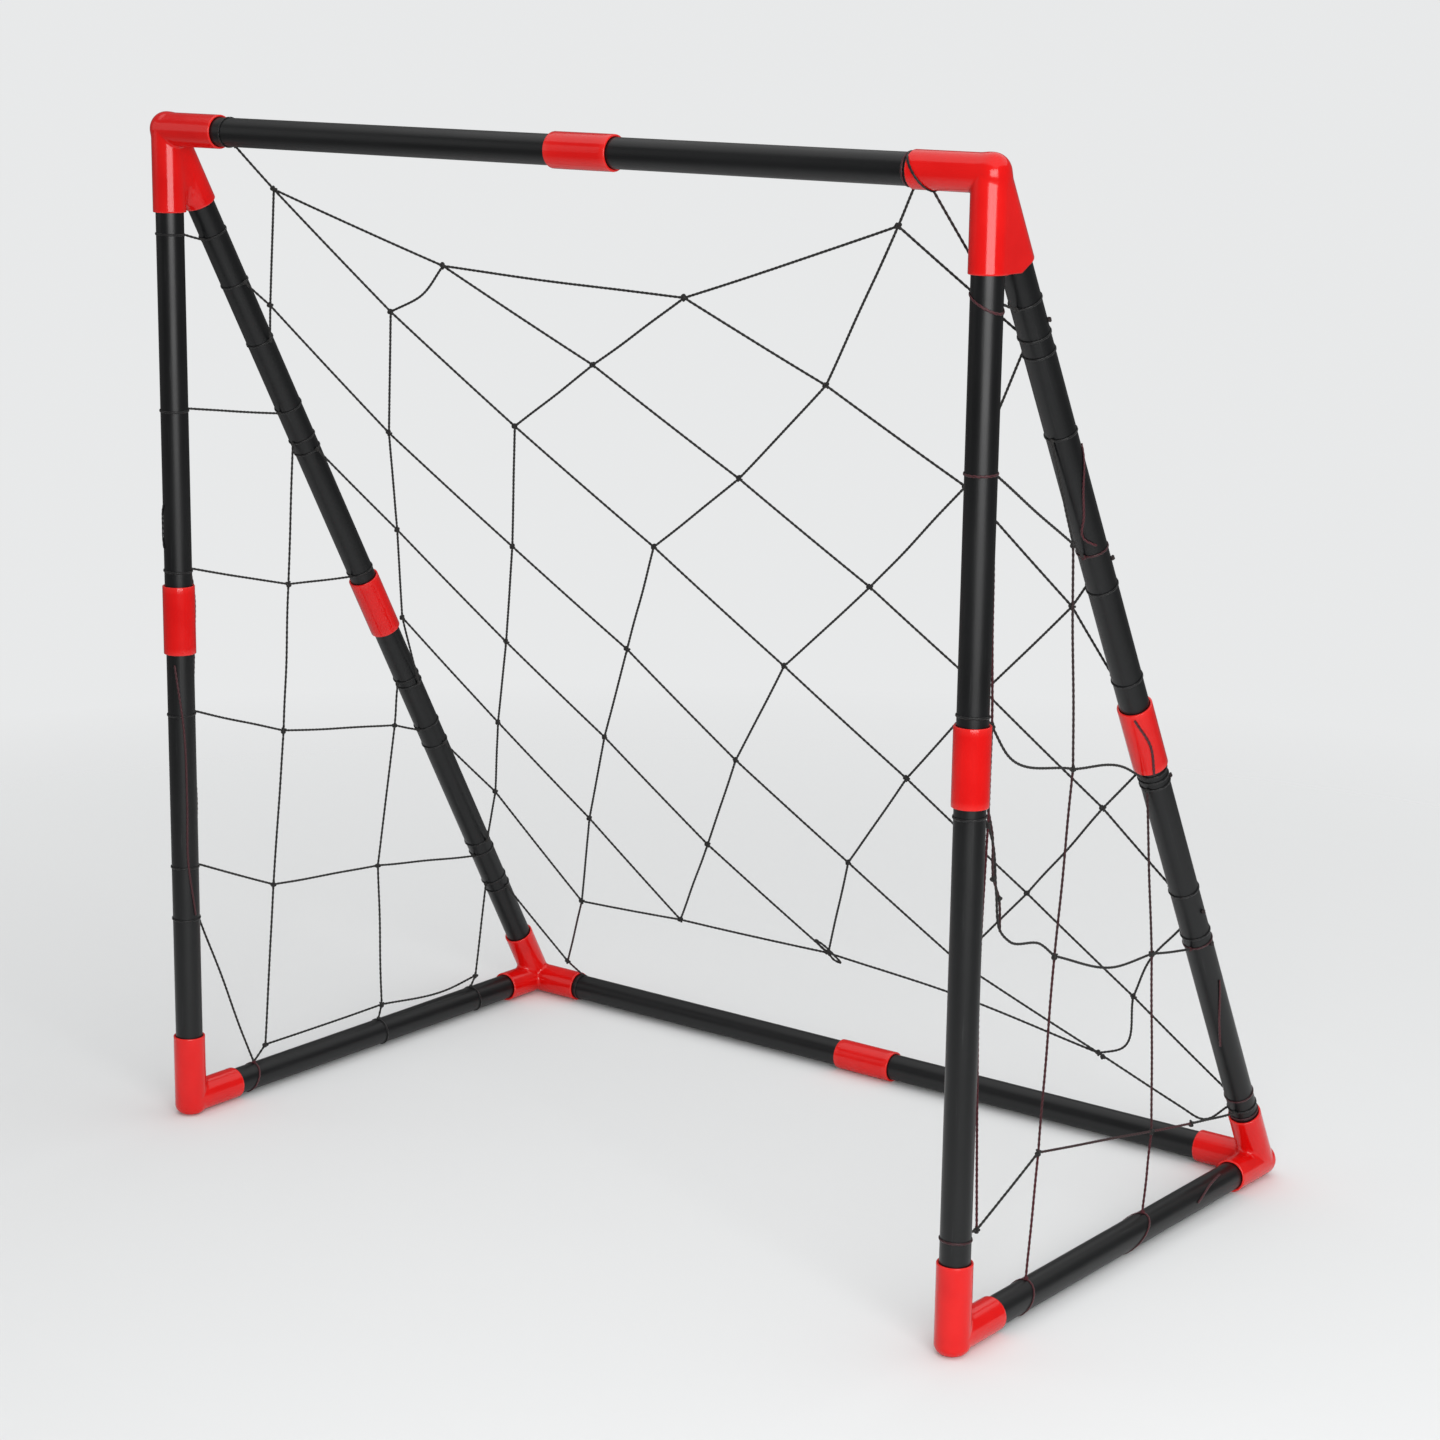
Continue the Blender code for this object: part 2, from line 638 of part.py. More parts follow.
right_cords = (
    "post_1 stay_1",
    "post_2 b1 stay_3",
    "post_3 c0 sag_1 c1 sag_2 stay_4",
    "post_4 d0 loop_1 loop_2 loop_3 loop_4 loop_5 d1 sag_3 d2 sag_4 stay_6",
    "post_5 e0 e1 sag_6 e2 e3 stay_7",
    "stay_2 b1 c1 d1 sag_5 e1 foot_1",
    "stay_5 d2 e2 foot_2",
    "post_1 edge_1 post_2 edge_2 c0 d0 edge_3 e0",
)


def add_back_net():
    net = Net(back_normal)
    net.add_knots(back_knots, on_back)
    for name, (across, down) in back_bends.items():
        net.places[name] = on_back(across, down)
    for name, (tube, share) in back_wraps.items():
        on_bar = tube.startswith("rear_bar")
        inward = RIGHT if tube.endswith("left") else -RIGHT
        if tube.startswith("crossbar"):
            inward = STAY_DOWN
        net.add_wrap(name, tube, share, UP if on_bar else inward)
    for cord in back_cords:
        net.add_cord(cord.split())
    net.build("net_back", net_black)


def add_side_net(side, hand, knots, bends, wraps, cords):
    net = Net(RIGHT)
    net.add_knots(knots, on_side(side))
    for name, (back, up) in bends.items():
        net.places[name] = on_side(side)(back, up)
    facings = {"post": BACK, "stay": STAY_DOWN.cross(RIGHT), "ground": UP}
    for name, (tube, share) in wraps.items():
        facing = facings[tube.split("_")[0]]
        net.add_wrap(name, tube + "_" + hand, share, facing)
    for cord in cords:
        net.add_cord(cord.split())
    net.build("net_side_" + hand, net_black)


add_back_net()
add_side_net(-1, "left", left_knots, left_bends, left_wraps, left_cords)
add_side_net(1, "right", right_knots, right_bends, right_wraps, right_cords)
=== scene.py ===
# %% [markdown]
# # A mini soccer goal, dressed round its imported frame
#
# The real goal is fourteen lengths of black plastic tube pushed into twelve red mouldings, with
# one knotted net tied on. This notebook gives each of those pieces its finished surface and
# finish. It starts from the imported solids, which fix where everything is.

# %% Load the imported frame
from math import cos, pi, radians, sin, sqrt

import bpy
import numpy as np
from mathutils import Matrix, Vector


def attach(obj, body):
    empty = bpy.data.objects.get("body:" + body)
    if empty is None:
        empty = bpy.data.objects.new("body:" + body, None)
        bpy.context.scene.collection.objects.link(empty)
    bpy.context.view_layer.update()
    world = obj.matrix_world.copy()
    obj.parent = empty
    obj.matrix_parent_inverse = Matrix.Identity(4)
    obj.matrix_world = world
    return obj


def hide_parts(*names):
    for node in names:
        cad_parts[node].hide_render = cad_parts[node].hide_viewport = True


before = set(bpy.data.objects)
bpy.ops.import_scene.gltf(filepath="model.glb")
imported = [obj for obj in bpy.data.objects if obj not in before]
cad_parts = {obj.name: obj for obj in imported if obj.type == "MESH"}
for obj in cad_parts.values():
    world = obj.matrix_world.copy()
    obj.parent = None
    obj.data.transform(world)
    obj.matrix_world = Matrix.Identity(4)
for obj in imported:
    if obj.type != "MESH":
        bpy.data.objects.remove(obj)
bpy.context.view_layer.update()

# %% [markdown]
# ## The sizes of the goal
#
# Every piece below is worked out from the same few sizes that the solids were made from, in
# metres: the distances between tube axes, the tube, the sockets and where the couplers sit.
# Writing them once keeps each tube in its socket and each tie round its tube. A foot stands on a
# flat of its socket, so the lower axes are a little less than a socket's radius above the floor.

# %% Sizes in metres
frame_width, frame_height, frame_depth = 0.860, 0.900, 0.500    # between tube axes
post_coupler_height, stay_coupler_from_rear = 0.460, 0.502    # from the lower ends of the axes
crossbar_coupler_offset, rear_coupler_offset = 0.048, 0.0    # to the right of the middle
tube_radius, tube_wall, tube_end_gap = 0.0125, 0.0015, 0.0003
socket_wall, fit_clearance = 0.0019, 0.0003
corner_rounding, branch_tail, mouth_rounding = 0.009, 0.002, 0.0006
coupler_length, coupler_stop_width, coupler_stop_height = 0.063, 0.003, 0.0016
cord_radius, wrap_clearance, wrap_margin = 0.0008, 0.0003, 0.004    # of the solids' net
solid_facets, foot_flat_depth = 24, 0.0001

bore_radius = tube_radius + fit_clearance
socket_radius = bore_radius + socket_wall
half_width = frame_width / 2
axis_height = socket_radius * cos(pi / solid_facets) - foot_flat_depth
front_y, rear_y = -frame_depth / 2, frame_depth / 2
top_z = axis_height + frame_height
stay_length = sqrt(frame_height ** 2 + frame_depth ** 2)

RIGHT, BACK, UP = np.eye(3)
STAY_DOWN = np.array([0, frame_depth, -frame_height]) / stay_length
print("stay length between axes", round(stay_length, 4), "socket radius", round(socket_radius, 4))

# %% Socket reaches, from the crossing of the axes to the mouth, and tube stops
top_reach = {"bar": 0.066, "post": 0.0725, "stay": 0.075}
top_stop = {"bar": 0.027, "post": 0.054, "stay": 0.054}
elbow_reach = {"post": 0.062, "ground": 0.056}
rear_reach = {"ground": 0.052, "bar": 0.059, "stay": 0.062}
low_stop = 0.026
web_thickness = 0.003
print("top corner reaches", top_reach)

# %% [markdown]
# ## Turning grids of points into meshes
#
# Nearly every piece is a grid: one way along it, one way round it. A grid that closes both ways,
# like a tube with a wall, needs no caps. One that is open at its ends gets a pole at each end, so
# that it is still a closed skin. `Skin` gathers several such shells into one mesh, and turns each
# shell the right way out by the sign of its volume.


# %% Grid faces, turns and volumes
def grid_faces(rows, columns, wrap_rows):
    """Quads of a grid whose columns close: corner (i, j), (i, j+1), (i+1, j+1), (i+1, j)."""
    i = np.arange(rows if wrap_rows else rows - 1)[:, None]
    j = np.arange(columns)[None, :]
    i_next, j_next = (i + 1) % rows, (j + 1) % columns
    corners = [i * columns + j, i * columns + j_next, i_next * columns + j_next,
               i_next * columns + j]
    quads = np.stack([np.broadcast_to(c, (i.size, columns)) for c in corners], axis=-1)
    return quads.reshape(-1, 4)


def spokes_at(angle, first, second):
    """A unit spoke for each angle a: cos a times the first direction plus sin a times the other."""
    return np.cos(angle)[:, None] * first + np.sin(angle)[:, None] * second


def full_turn(steps):
    """Equal angles once round, without the last, which is the first again."""
    return np.arange(steps) * 2 * pi / steps


def signed_volume(points, faces):
    """A sixth of the sum of a . (b x c) over the triangles of a fan in each face."""
    total = 0.0
    for k in range(1, faces.shape[1] - 1):
        a, b, c = (points[faces[:, n]] for n in (0, k, k + 1))
        total += np.einsum("ij,ij->", a, np.cross(b, c)) / 6
    return total


print("a grid of 3 rings of 4 points has", len(grid_faces(3, 4, False)), "quads")


# %% Closed shells in one mesh
class Skin:
    """Closed shells gathered for one mesh, with numbers kept at their points."""

    def __init__(self):
        self.points, self.quads, self.tris, self.marks, self.count = [], [], [], {}, 0

    def add(self, points, quads, tris=None, **marks):
        """Turns one shell the right way out, and appends it with its marks, one for each point."""
        tris = np.zeros((0, 3), int) if tris is None else tris
        points = np.asarray(points, float).reshape(-1, 3)
        if signed_volume(points, quads) + signed_volume(points, tris) < 0:
            quads, tris = quads[:, ::-1], tris[:, ::-1]
        self.points.append(points)
        self.quads.append(quads + self.count)
        self.tris.append(tris + self.count)
        for name, values in marks.items():
            values = np.asarray(values, float).reshape(len(points), -1)
            self.marks.setdefault(name, []).append(values)
        self.count += len(points)


print("a new skin has", Skin().count, "points")


# %% From a skin to a piece
def make_piece(name, skin, material, nodes):
    """Writes a skin into a mesh at the origin, hangs it on the root body and hides the nodes it
    stands for.
    """
    points, quads, tris = (np.concatenate(part) for part in (skin.points, skin.quads, skin.tris))
    mesh = bpy.data.meshes.new(name)
    mesh.vertices.add(len(points))
    mesh.vertices.foreach_set("co", points.ravel())
    mesh.loops.add(quads.size + tris.size)
    mesh.loops.foreach_set("vertex_index", np.concatenate([quads.ravel(), tris.ravel()]))
    mesh.polygons.add(len(quads) + len(tris))
    starts = [np.arange(len(quads)) * 4, quads.size + np.arange(len(tris)) * 3]
    mesh.polygons.foreach_set("loop_start", np.concatenate(starts))
    mesh.update(calc_edges=True)
    mesh.validate()
    for mark, values in skin.marks.items():
        values = np.concatenate(values)
        kind, field = ("FLOAT_VECTOR", "vector") if values.shape[1] == 3 else ("FLOAT", "value")
        mesh.attributes.new(mark, kind, "POINT").data.foreach_set(field, values.ravel())
    mesh.shade_smooth()
    mesh.materials.append(material)
    piece = bpy.data.objects.new(name, mesh)
    bpy.context.scene.collection.objects.link(piece)
    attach(piece, "root")
    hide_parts(*nodes)
    return piece


def triangle_count(piece):
    """Triangles of a mesh: each face has two fewer than its corners."""
    return sum(len(face.vertices) - 2 for face in piece.data.polygons)


print("pieces so far", len(bpy.data.meshes) - len(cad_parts))

# %% [markdown]
# ## Shader groups for effects that several finishes share
#
# A group is built once and placed in each material with its own values. Each one only puts out
# masks, values or heights. `fine_grain` is the skin that plastic takes from its mould or die,
# `soft_mottle` the slow change of shade over a hand's width, and `handling_scuffs` the thin
# rubbed marks that pushing tubes in and out leaves.


# %% A short way to write node trees
def add_node(tree, kind, **values):
    """A new node of a kind, with its named settings."""
    node = tree.nodes.new(kind)
    for name, value in values.items():
        setattr(node, name, value)
    return node


def link(tree, source, target):
    """Joins an output to an input."""
    tree.links.new(source, target)


def new_group(name, inputs, outputs):
    """A shader node group with named value or vector inputs and value outputs."""
    group = bpy.data.node_groups.new(name, "ShaderNodeTree")
    for label, default in inputs.items():
        kind = "NodeSocketVector" if default is None else "NodeSocketFloat"
        socket = group.interface.new_socket(label, in_out="INPUT", socket_type=kind)
        if default is not None:
            socket.default_value = default
    for label in outputs:
        group.interface.new_socket(label, in_out="OUTPUT", socket_type="NodeSocketFloat")
    return group, add_node(group, "NodeGroupInput"), add_node(group, "NodeGroupOutput")


def noise(tree, vector, scale, detail=2.0, roughness=0.5):
    """Cloudy values from 0 to 1 at a place, with scale clouds to a metre, a number or a socket."""
    node = add_node(tree, "ShaderNodeTexNoise")
    node.inputs["Detail"].default_value = detail
    node.inputs["Roughness"].default_value = roughness
    link(tree, vector, node.inputs["Vector"])
    if isinstance(scale, float):
        node.inputs["Scale"].default_value = scale
    else:
        link(tree, scale, node.inputs["Scale"])
    return node.outputs["Fac"]


def remap(tree, value, low, high, to_low=0.0, to_high=1.0):
    """Straight-line change of range, held at both ends."""
    node = add_node(tree, "ShaderNodeMapRange")
    for label, number in zip(("From Min", "From Max", "To Min", "To Max"),
                             (low, high, to_low, to_high)):
        node.inputs[label].default_value = number
    link(tree, value, node.inputs["Value"])
    return node.outputs["Result"]


def combine(tree, operation, first, second):
    """One step of arithmetic on two values, each a number or a socket."""
    node = add_node(tree, "ShaderNodeMath", operation=operation)
    for socket, value in zip(node.inputs, (first, second)):
        if isinstance(value, (int, float)):
            socket.default_value = value
        else:
            link(tree, value, socket)
    return node.outputs[0]


print("node helpers ready")


# %% Three groups: grain, mottle and scuffs
def blend_sum(tree, first, first_share, second, second_share):
    """The first value times its share plus the second times its own."""
    return combine(tree, "ADD", combine(tree, "MULTIPLY", first, first_share),
                   combine(tree, "MULTIPLY", second, second_share))


fine_grain, into, out = new_group("fine_grain", {"Place": None, "Scale": 1800.0}, ["Height"])
place, scale = into.outputs["Place"], into.outputs["Scale"]
coarse = noise(fine_grain, place, scale, detail=3.0, roughness=0.6)
broad = noise(fine_grain, place, combine(fine_grain, "MULTIPLY", scale, 0.22), detail=1.0)
link(fine_grain, blend_sum(fine_grain, coarse, 0.6, broad, 0.4), out.inputs["Height"])

soft_mottle, into, out = new_group("soft_mottle", {"Place": None, "Scale": 14.0}, ["Shade"])
slow = noise(soft_mottle, into.outputs["Place"], into.outputs["Scale"], detail=3.0, roughness=0.55)
link(soft_mottle, remap(soft_mottle, slow, low=0.32, high=0.68), out.inputs["Shade"])

handling_scuffs, into, out = new_group("handling_scuffs",
                                       {"Place": None, "Scale": 60.0, "Cover": 0.5}, ["Mask"])
place, scale = into.outputs["Place"], into.outputs["Scale"]
streaks = noise(handling_scuffs, place, scale, detail=4.0, roughness=0.7)
patches = noise(handling_scuffs, place, combine(handling_scuffs, "MULTIPLY", scale, 0.09))
thin = remap(handling_scuffs, streaks, low=0.60, high=0.72)
where = remap(handling_scuffs, patches, low=0.45, high=0.65)
scuffed = combine(handling_scuffs, "MULTIPLY", thin, where)
link(handling_scuffs, combine(handling_scuffs, "MULTIPLY", scuffed, into.outputs["Cover"]),
     out.inputs["Mask"])
print("groups", [g.name for g in bpy.data.node_groups])


# %% A short way to start a material
def new_material(name, roughness, specular):
    """A material with its shader's own roughness and specular level."""
    material = bpy.data.materials.new(name)
    material.use_nodes = True
    shader = material.node_tree.nodes["Principled BSDF"]
    shader.inputs["Roughness"].default_value = roughness
    shader.inputs["Specular IOR Level"].default_value = specular
    return material, material.node_tree, shader


def place_group(tree, group, place, **values):
    """A shader group in a material, with its values, read at a place."""
    node = add_node(tree, "ShaderNodeGroup", node_tree=group)
    link(tree, place, node.inputs["Place"])
    for label, value in values.items():
        node.inputs[label].default_value = value
    return node.outputs[0]


def mark_value(tree, name, output="Fac"):
    """A mark that the piece keeps at its points."""
    return add_node(tree, "ShaderNodeAttribute", attribute_name=name).outputs[output]


def mix_colour(tree, factor, first, second):
    """Mixes two colours, each a tuple or a socket."""
    node = add_node(tree, "ShaderNodeMix", data_type="RGBA")
    link(tree, factor, node.inputs[0])
    for socket, value in ((node.inputs[6], first), (node.inputs[7], second)):
        if isinstance(value, tuple):
            socket.default_value = (*value, 1.0)
        else:
            link(tree, value, socket)
    return node.outputs[2]


def raise_bump(tree, shader, height, distance, strength):
    """Tilts the shader's normals by a height, distance metres deep where it is 1."""
    bump = add_node(tree, "ShaderNodeBump")
    bump.inputs["Distance"].default_value = distance
    bump.inputs["Strength"].default_value = strength
    link(tree, height, bump.inputs["Height"])
    link(tree, bump.outputs["Normal"], shader.inputs["Normal"])


print("materials that came with the frame", len(bpy.data.materials))

# %% [markdown]
# ## Finish of the black tubes
#
# The tubes are extruded, so their skin carries faint lines along the length, left by the die, and
# a satin sheen. The tubes keep a mark called `lay` at each point: its place about the tube's own
# axis, with the length shortened forty times. A noise read there comes out drawn along the tube,
# with no seam.

# %% Satin black of the tubes
deep_black, even_black = (0.0022, 0.0025, 0.0029), (0.0034, 0.0038, 0.0043)
rubbed_black = (0.03, 0.031, 0.032)
satin_black, tree, shader = new_material("satin_black_tube", roughness=0.38, specular=0.42)
object_place = add_node(tree, "ShaderNodeTexCoord").outputs["Object"]
lay = mark_value(tree, "lay", "Vector")
shade = place_group(tree, soft_mottle, object_place, Scale=9.0)
scuffs = place_group(tree, handling_scuffs, lay, Scale=420.0, Cover=0.5)
die_lines = noise(tree, lay, 900.0, roughness=0.6)
base = mix_colour(tree, shade, deep_black, even_black)
link(tree, mix_colour(tree, scuffs, base, rubbed_black), shader.inputs["Base Color"])
satin = remap(tree, shade, 0.0, 1.0, to_low=0.34, to_high=0.42)
link(tree, combine(tree, "ADD", satin, combine(tree, "MULTIPLY", scuffs, 0.2)),
     shader.inputs["Roughness"])
grain = place_group(tree, fine_grain, object_place, Scale=2600.0)
relief = blend_sum(tree, die_lines, 0.7, grain, 0.5)
raise_bump(tree, shader, relief, distance=0.00006, strength=0.5)
print("finish", satin_black.name)

# %% [markdown]
# ## Finish of the red mouldings
#
# The connectors are moulded in a bright red plastic with a half gloss. Painted shade makes it
# deeper red in the creases, and the mouth rims are paler, partly from wear and partly as a painted
# highlight where the lips catch light. Each connector keeps the marks `crease` and `rim` for this.

# %% Moulded red of the connectors
deep_red, even_red = (0.61, 0.0030, 0.0028), (0.68, 0.0054, 0.0044)
# the crease colour is painted shade: a deeper red where the creases would lie in shadow
# the rim colour is partly edge wear and partly a painted highlight where the mouth lips catch light
crease_shade_red, rim_wear_and_highlight_red, scuffed_red = (0.46, 0.002, 0.002), (0.82, 0.045, 0.038), (0.80, 0.06, 0.05)
moulded_red, tree, shader = new_material("moulded_red_connector", roughness=0.18, specular=0.42)
object_place = add_node(tree, "ShaderNodeTexCoord").outputs["Object"]
shade = place_group(tree, soft_mottle, object_place, Scale=26.0)
scuffs = place_group(tree, handling_scuffs, object_place, Scale=420.0, Cover=0.10)
base = mix_colour(tree, shade, deep_red, even_red)
# paints shade into the creases, and paler rims that are partly wear and partly painted highlight
for mark, colour in (("crease", crease_shade_red), ("rim", rim_wear_and_highlight_red)):
    base = mix_colour(tree, combine(tree, "MULTIPLY", mark_value(tree, mark), 0.35), base, colour)
link(tree, mix_colour(tree, scuffs, base, scuffed_red), shader.inputs["Base Color"])
half_gloss = remap(tree, shade, 0.0, 1.0, to_low=0.13, to_high=0.19)
link(tree, combine(tree, "ADD", half_gloss, combine(tree, "MULTIPLY", scuffs, 0.25)),
     shader.inputs["Roughness"])
grain = place_group(tree, fine_grain, object_place, Scale=900.0)
raise_bump(tree, shader, grain, distance=0.00004, strength=0.25)
print("finish", moulded_red.name)

# %% [markdown]
# ## Finish of the net cord
#
# The net is two-ply twisted cord, black, with a maroon fleck in the edge cords and ties. The mark
# `groove` is 0 on the crown of a strand and 1 in the furrow between strands, where shade is painted
# in, `tint` says how maroon a cord is, and `strand` is the place along and round the cord, for the
# fibres. `pressed` is 1 where it is pulled flat on a tube, which leaves it as dark as the tube, with
# a thin coat of gloss.

# %% Matt cord black
fibre_dark, fibre_light = (0.0180, 0.0175, 0.0170), (0.0460, 0.0445, 0.0430)
# the furrow colour is painted shade, darker where the strands meet
pressed_black, furrow_shade_black = (0.0030, 0.0033, 0.0037), (0.004, 0.0035, 0.0035)
maroon = (0.105, 0.014, 0.022)
cord_black, tree, shader = new_material("net_cord_black", roughness=0.75, specular=0.15)
shader.inputs["Sheen Weight"].default_value = 0.05
shader.inputs["Sheen Roughness"].default_value = 0.6
shader.inputs["Coat Roughness"].default_value = 0.4
strand = mark_value(tree, "strand", "Vector")
fibres = noise(tree, strand, 2600.0, roughness=0.6)
pressed = mark_value(tree, "pressed")
# painted shade: the furrows between the strands are darkened as if in shadow
furrow = combine(tree, "MULTIPLY", mark_value(tree, "groove"), 0.6)
base = mix_colour(tree, fibres, fibre_dark, fibre_light)
for mask, colour in ((pressed, pressed_black), (mark_value(tree, "tint"), maroon),
                     (furrow, furrow_shade_black)):
    base = mix_colour(tree, mask, base, colour)
link(tree, base, shader.inputs["Base Color"])
matt = remap(tree, fibres, 0.3, 0.7, to_low=0.65, to_high=0.85)
link(tree, combine(tree, "SUBTRACT", matt, combine(tree, "MULTIPLY", pressed, 0.32)),
     shader.inputs["Roughness"])
link(tree, combine(tree, "MULTIPLY", pressed, 0.42), shader.inputs["Coat Weight"])
raise_bump(tree, shader, fibres, distance=0.00015, strength=0.6)
print("finish", cord_black.name)

# %% [markdown]
# ## Tubes
#
# A tube is one closed outline, outer wall, rounded end, inner wall and rounded end, turned about
# the tube's axis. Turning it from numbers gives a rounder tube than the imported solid's 24 facets,
# at the same place. Each tube runs from the stop in one socket to the stop in the next.

# %% Turned pieces
tube_columns, coupler_columns = 64, 96
tube_edge, tube_row_spacing = 0.0004, 0.03
die_line_stretch = 40


def frame_along(direction):
    """Two unit vectors across a direction and the direction itself."""
    axis = np.asarray(direction, float) / np.linalg.norm(direction)
    side = BACK if abs(axis[0]) > 0.5 else RIGHT
    across = np.cross(axis, side)
    across /= np.linalg.norm(across)
    return np.cross(across, axis), across, axis


def rounded_end(inner, outer, height, edge, forward):
    """Quarter circles at both edges of a wall's end, from the outer edge round to the inner."""
    turn = np.linspace(0, pi / 2, num=5)
    back = -1 if forward else 1
    first = np.c_[outer - edge + edge * np.cos(turn), height + back * edge * (1 - np.sin(turn))]
    last = np.c_[inner + edge - edge * np.sin(turn), height + back * edge * (1 - np.cos(turn))]
    return np.concatenate([first, last])


def turn_outline(outline, start, direction, columns):
    """Turns an outline of (radius, height) pairs into rings.

    A point is start + height * axis + radius * (cos a * side + sin a * across). Its lay is the same
    about the origin, with the height divided by die_line_stretch.
    """
    side, across, axis = frame_along(direction)
    angle = full_turn(columns)
    ring = spokes_at(angle, side, across)
    radius, height = outline[:, 0], outline[:, 1]
    points = (np.asarray(start) + height[:, None, None] * axis
              + radius[:, None, None] * ring[None])
    lay_round = radius[:, None] * np.ones(columns)
    lay = np.stack([lay_round * np.cos(angle), lay_round * np.sin(angle),
                    np.repeat(height[:, None] / die_line_stretch, columns, axis=1)], axis=-1)
    return points, lay


def make_tube(node, start, end):
    """Outer wall, rounded end, inner wall and rounded end, as one closed outline turned."""
    start, end = np.asarray(start, float), np.asarray(end, float)
    length = np.linalg.norm(end - start)
    inside = tube_radius - tube_wall
    row_count = max(3, int(length / tube_row_spacing))
    rows = np.linspace(tube_edge, length - tube_edge, row_count)[1:-1]
    outline = np.concatenate([
        np.c_[np.full(len(rows), tube_radius), rows],
        rounded_end(inside, tube_radius, length, tube_edge, forward=True),
        np.c_[np.full(len(rows), inside), rows[::-1]],
        rounded_end(inside, tube_radius, 0.0, tube_edge, forward=False)[::-1]])
    points, lay = turn_outline(outline, start, end - start, tube_columns)
    skin = Skin()
    skin.add(points, grid_faces(len(outline), tube_columns, True), lay=lay)
    return make_piece("black_" + node, skin, satin_black, [node])


print("turned pieces have", tube_columns, "or", coupler_columns, "columns")

# %% [markdown]
# ## Straight couplers
#
# A coupler is a short sleeve with a stop ring half way along inside, so that both tubes go in
# equally far. Its outline has the ring, the bore, the lip and the outer wall. The outer wall has
# the faint line of the two mould halves on two sides.

# %% Turned couplers
parting_line_width, parting_line_height = 0.03, 0.00012    # radians, metres
rim_width = 0.0012


def make_coupler(node, centre, direction):
    """The upper half of the outline and its mirror image, turned.

    The outer wall stands out by parting_line_height exp(-(b / parting_line_width)^2), where b is
    the angle from the nearer parting line. rim is exp(-(d / rim_width)^2), d metres from a mouth.
    """
    half, stop = coupler_length / 2, coupler_stop_width / 2
    waist = bore_radius - coupler_stop_height
    rise = np.array([[waist, 0.0], [waist, stop], [bore_radius, stop], [bore_radius, half * 0.6]])
    lip = rounded_end(bore_radius, socket_radius, half, mouth_rounding, forward=True)
    wall_heights = np.linspace(half * 0.8, 0, num=5)
    wall = np.c_[np.full(len(wall_heights), socket_radius), wall_heights]
    upper = np.concatenate([rise, lip[::-1], wall])
    lower = upper[1:-1][::-1] * (1, -1)
    outline = np.concatenate([upper, lower])
    points, _ = turn_outline(outline, centre, direction, coupler_columns)
    side, across, _ = frame_along(direction)
    angle = full_turn(coupler_columns)
    from_line = np.abs(np.abs(angle - pi) - pi / 2)
    line = np.exp(-(from_line / parting_line_width) ** 2) * parting_line_height
    outside = outline[:, 0] > socket_radius - 0.0001
    ring = spokes_at(angle, side, across)
    points = points + outside[:, None, None] * line[None, :, None] * ring[None]
    from_mouth = half - np.abs(outline[:, 1])
    rim = np.exp(-(from_mouth / rim_width) ** 2)[:, None] * np.ones(coupler_columns)
    skin = Skin()
    skin.add(points, grid_faces(len(outline), coupler_columns, True),
             rim=rim, crease=np.zeros_like(rim))
    return make_piece("red_" + node, skin, moulded_red, [node])


print("coupler", coupler_length, "m long,", round(2 * socket_radius, 4), "m across")

# %% Tubes and couplers in their places
bare = {}


def make_tube_pair(names, start, end, stops, mouths, coupler_at, coupler_name):
    """Two tubes in line, the coupler between them, and the bare stretches that the net ties to."""
    start, end = np.asarray(start, float), np.asarray(end, float)
    direction = (end - start) / np.linalg.norm(end - start)
    rib = coupler_stop_width / 2 + tube_end_gap
    middle = start + direction * coupler_at
    make_tube(names[0], start + direction * (stops[0] + tube_end_gap), middle - direction * rib)
    make_tube(names[1], middle + direction * rib, end - direction * (stops[1] + tube_end_gap))
    make_coupler(coupler_name, middle, direction)
    sleeve = direction * coupler_length / 2
    bare[names[0]] = (start + direction * mouths[0], middle - sleeve)
    bare[names[1]] = (middle + sleeve, end - direction * mouths[1])


for side, hand in ((-1, "left"), (1, "right")):
    x = side * half_width
    make_tube_pair(("post_lower_" + hand, "post_upper_" + hand), (x, front_y, axis_height),
                   (x, front_y, top_z), (low_stop, top_stop["post"]),
                   (elbow_reach["post"], top_reach["post"]), post_coupler_height,
                   "post_coupler_" + hand)
    make_tube_pair(("stay_lower_" + hand, "stay_upper_" + hand), (x, rear_y, axis_height),
                   (x, front_y, top_z), (low_stop, top_stop["stay"]),
                   (rear_reach["stay"], top_reach["stay"]), stay_coupler_from_rear,
                   "stay_coupler_" + hand)
    make_tube("ground_bar_" + hand, (x, front_y + low_stop + tube_end_gap, axis_height),
              (x, rear_y - low_stop - tube_end_gap, axis_height))
    bare["ground_bar_" + hand] = (np.array([x, front_y + elbow_reach["ground"], axis_height]),
                                  np.array([x, rear_y - rear_reach["ground"], axis_height]))
make_tube_pair(("crossbar_left", "crossbar_right"), (-half_width, front_y, top_z),
               (half_width, front_y, top_z), (top_stop["bar"], top_stop["bar"]),
               (top_reach["bar"], top_reach["bar"]), half_width + crossbar_coupler_offset,
               "crossbar_coupler")
make_tube_pair(("rear_bar_left", "rear_bar_right"), (-half_width, rear_y, axis_height),
               (half_width, rear_y, axis_height), (low_stop, low_stop),
               (rear_reach["bar"], rear_reach["bar"]), half_width + rear_coupler_offset,
               "rear_bar_coupler")
print("tubes and couplers made, bare stretches", len(bare))

# %% [markdown]
# ## Corner mouldings
#
# A moulded corner is a few round sockets that flow into each other, with a small fillet in each
# crease. A grid can't follow that, so a corner is described as a field of distances: negative
# inside the plastic, positive outside. Each socket is a rounded cylinder. Two are joined by
# keeping the smaller distance, and near the crease a little more plastic is added. The bores are
# then taken away. The skin of the field is found cell by cell on a fine block of points, and each
# of its points is then slid onto the exact surface.

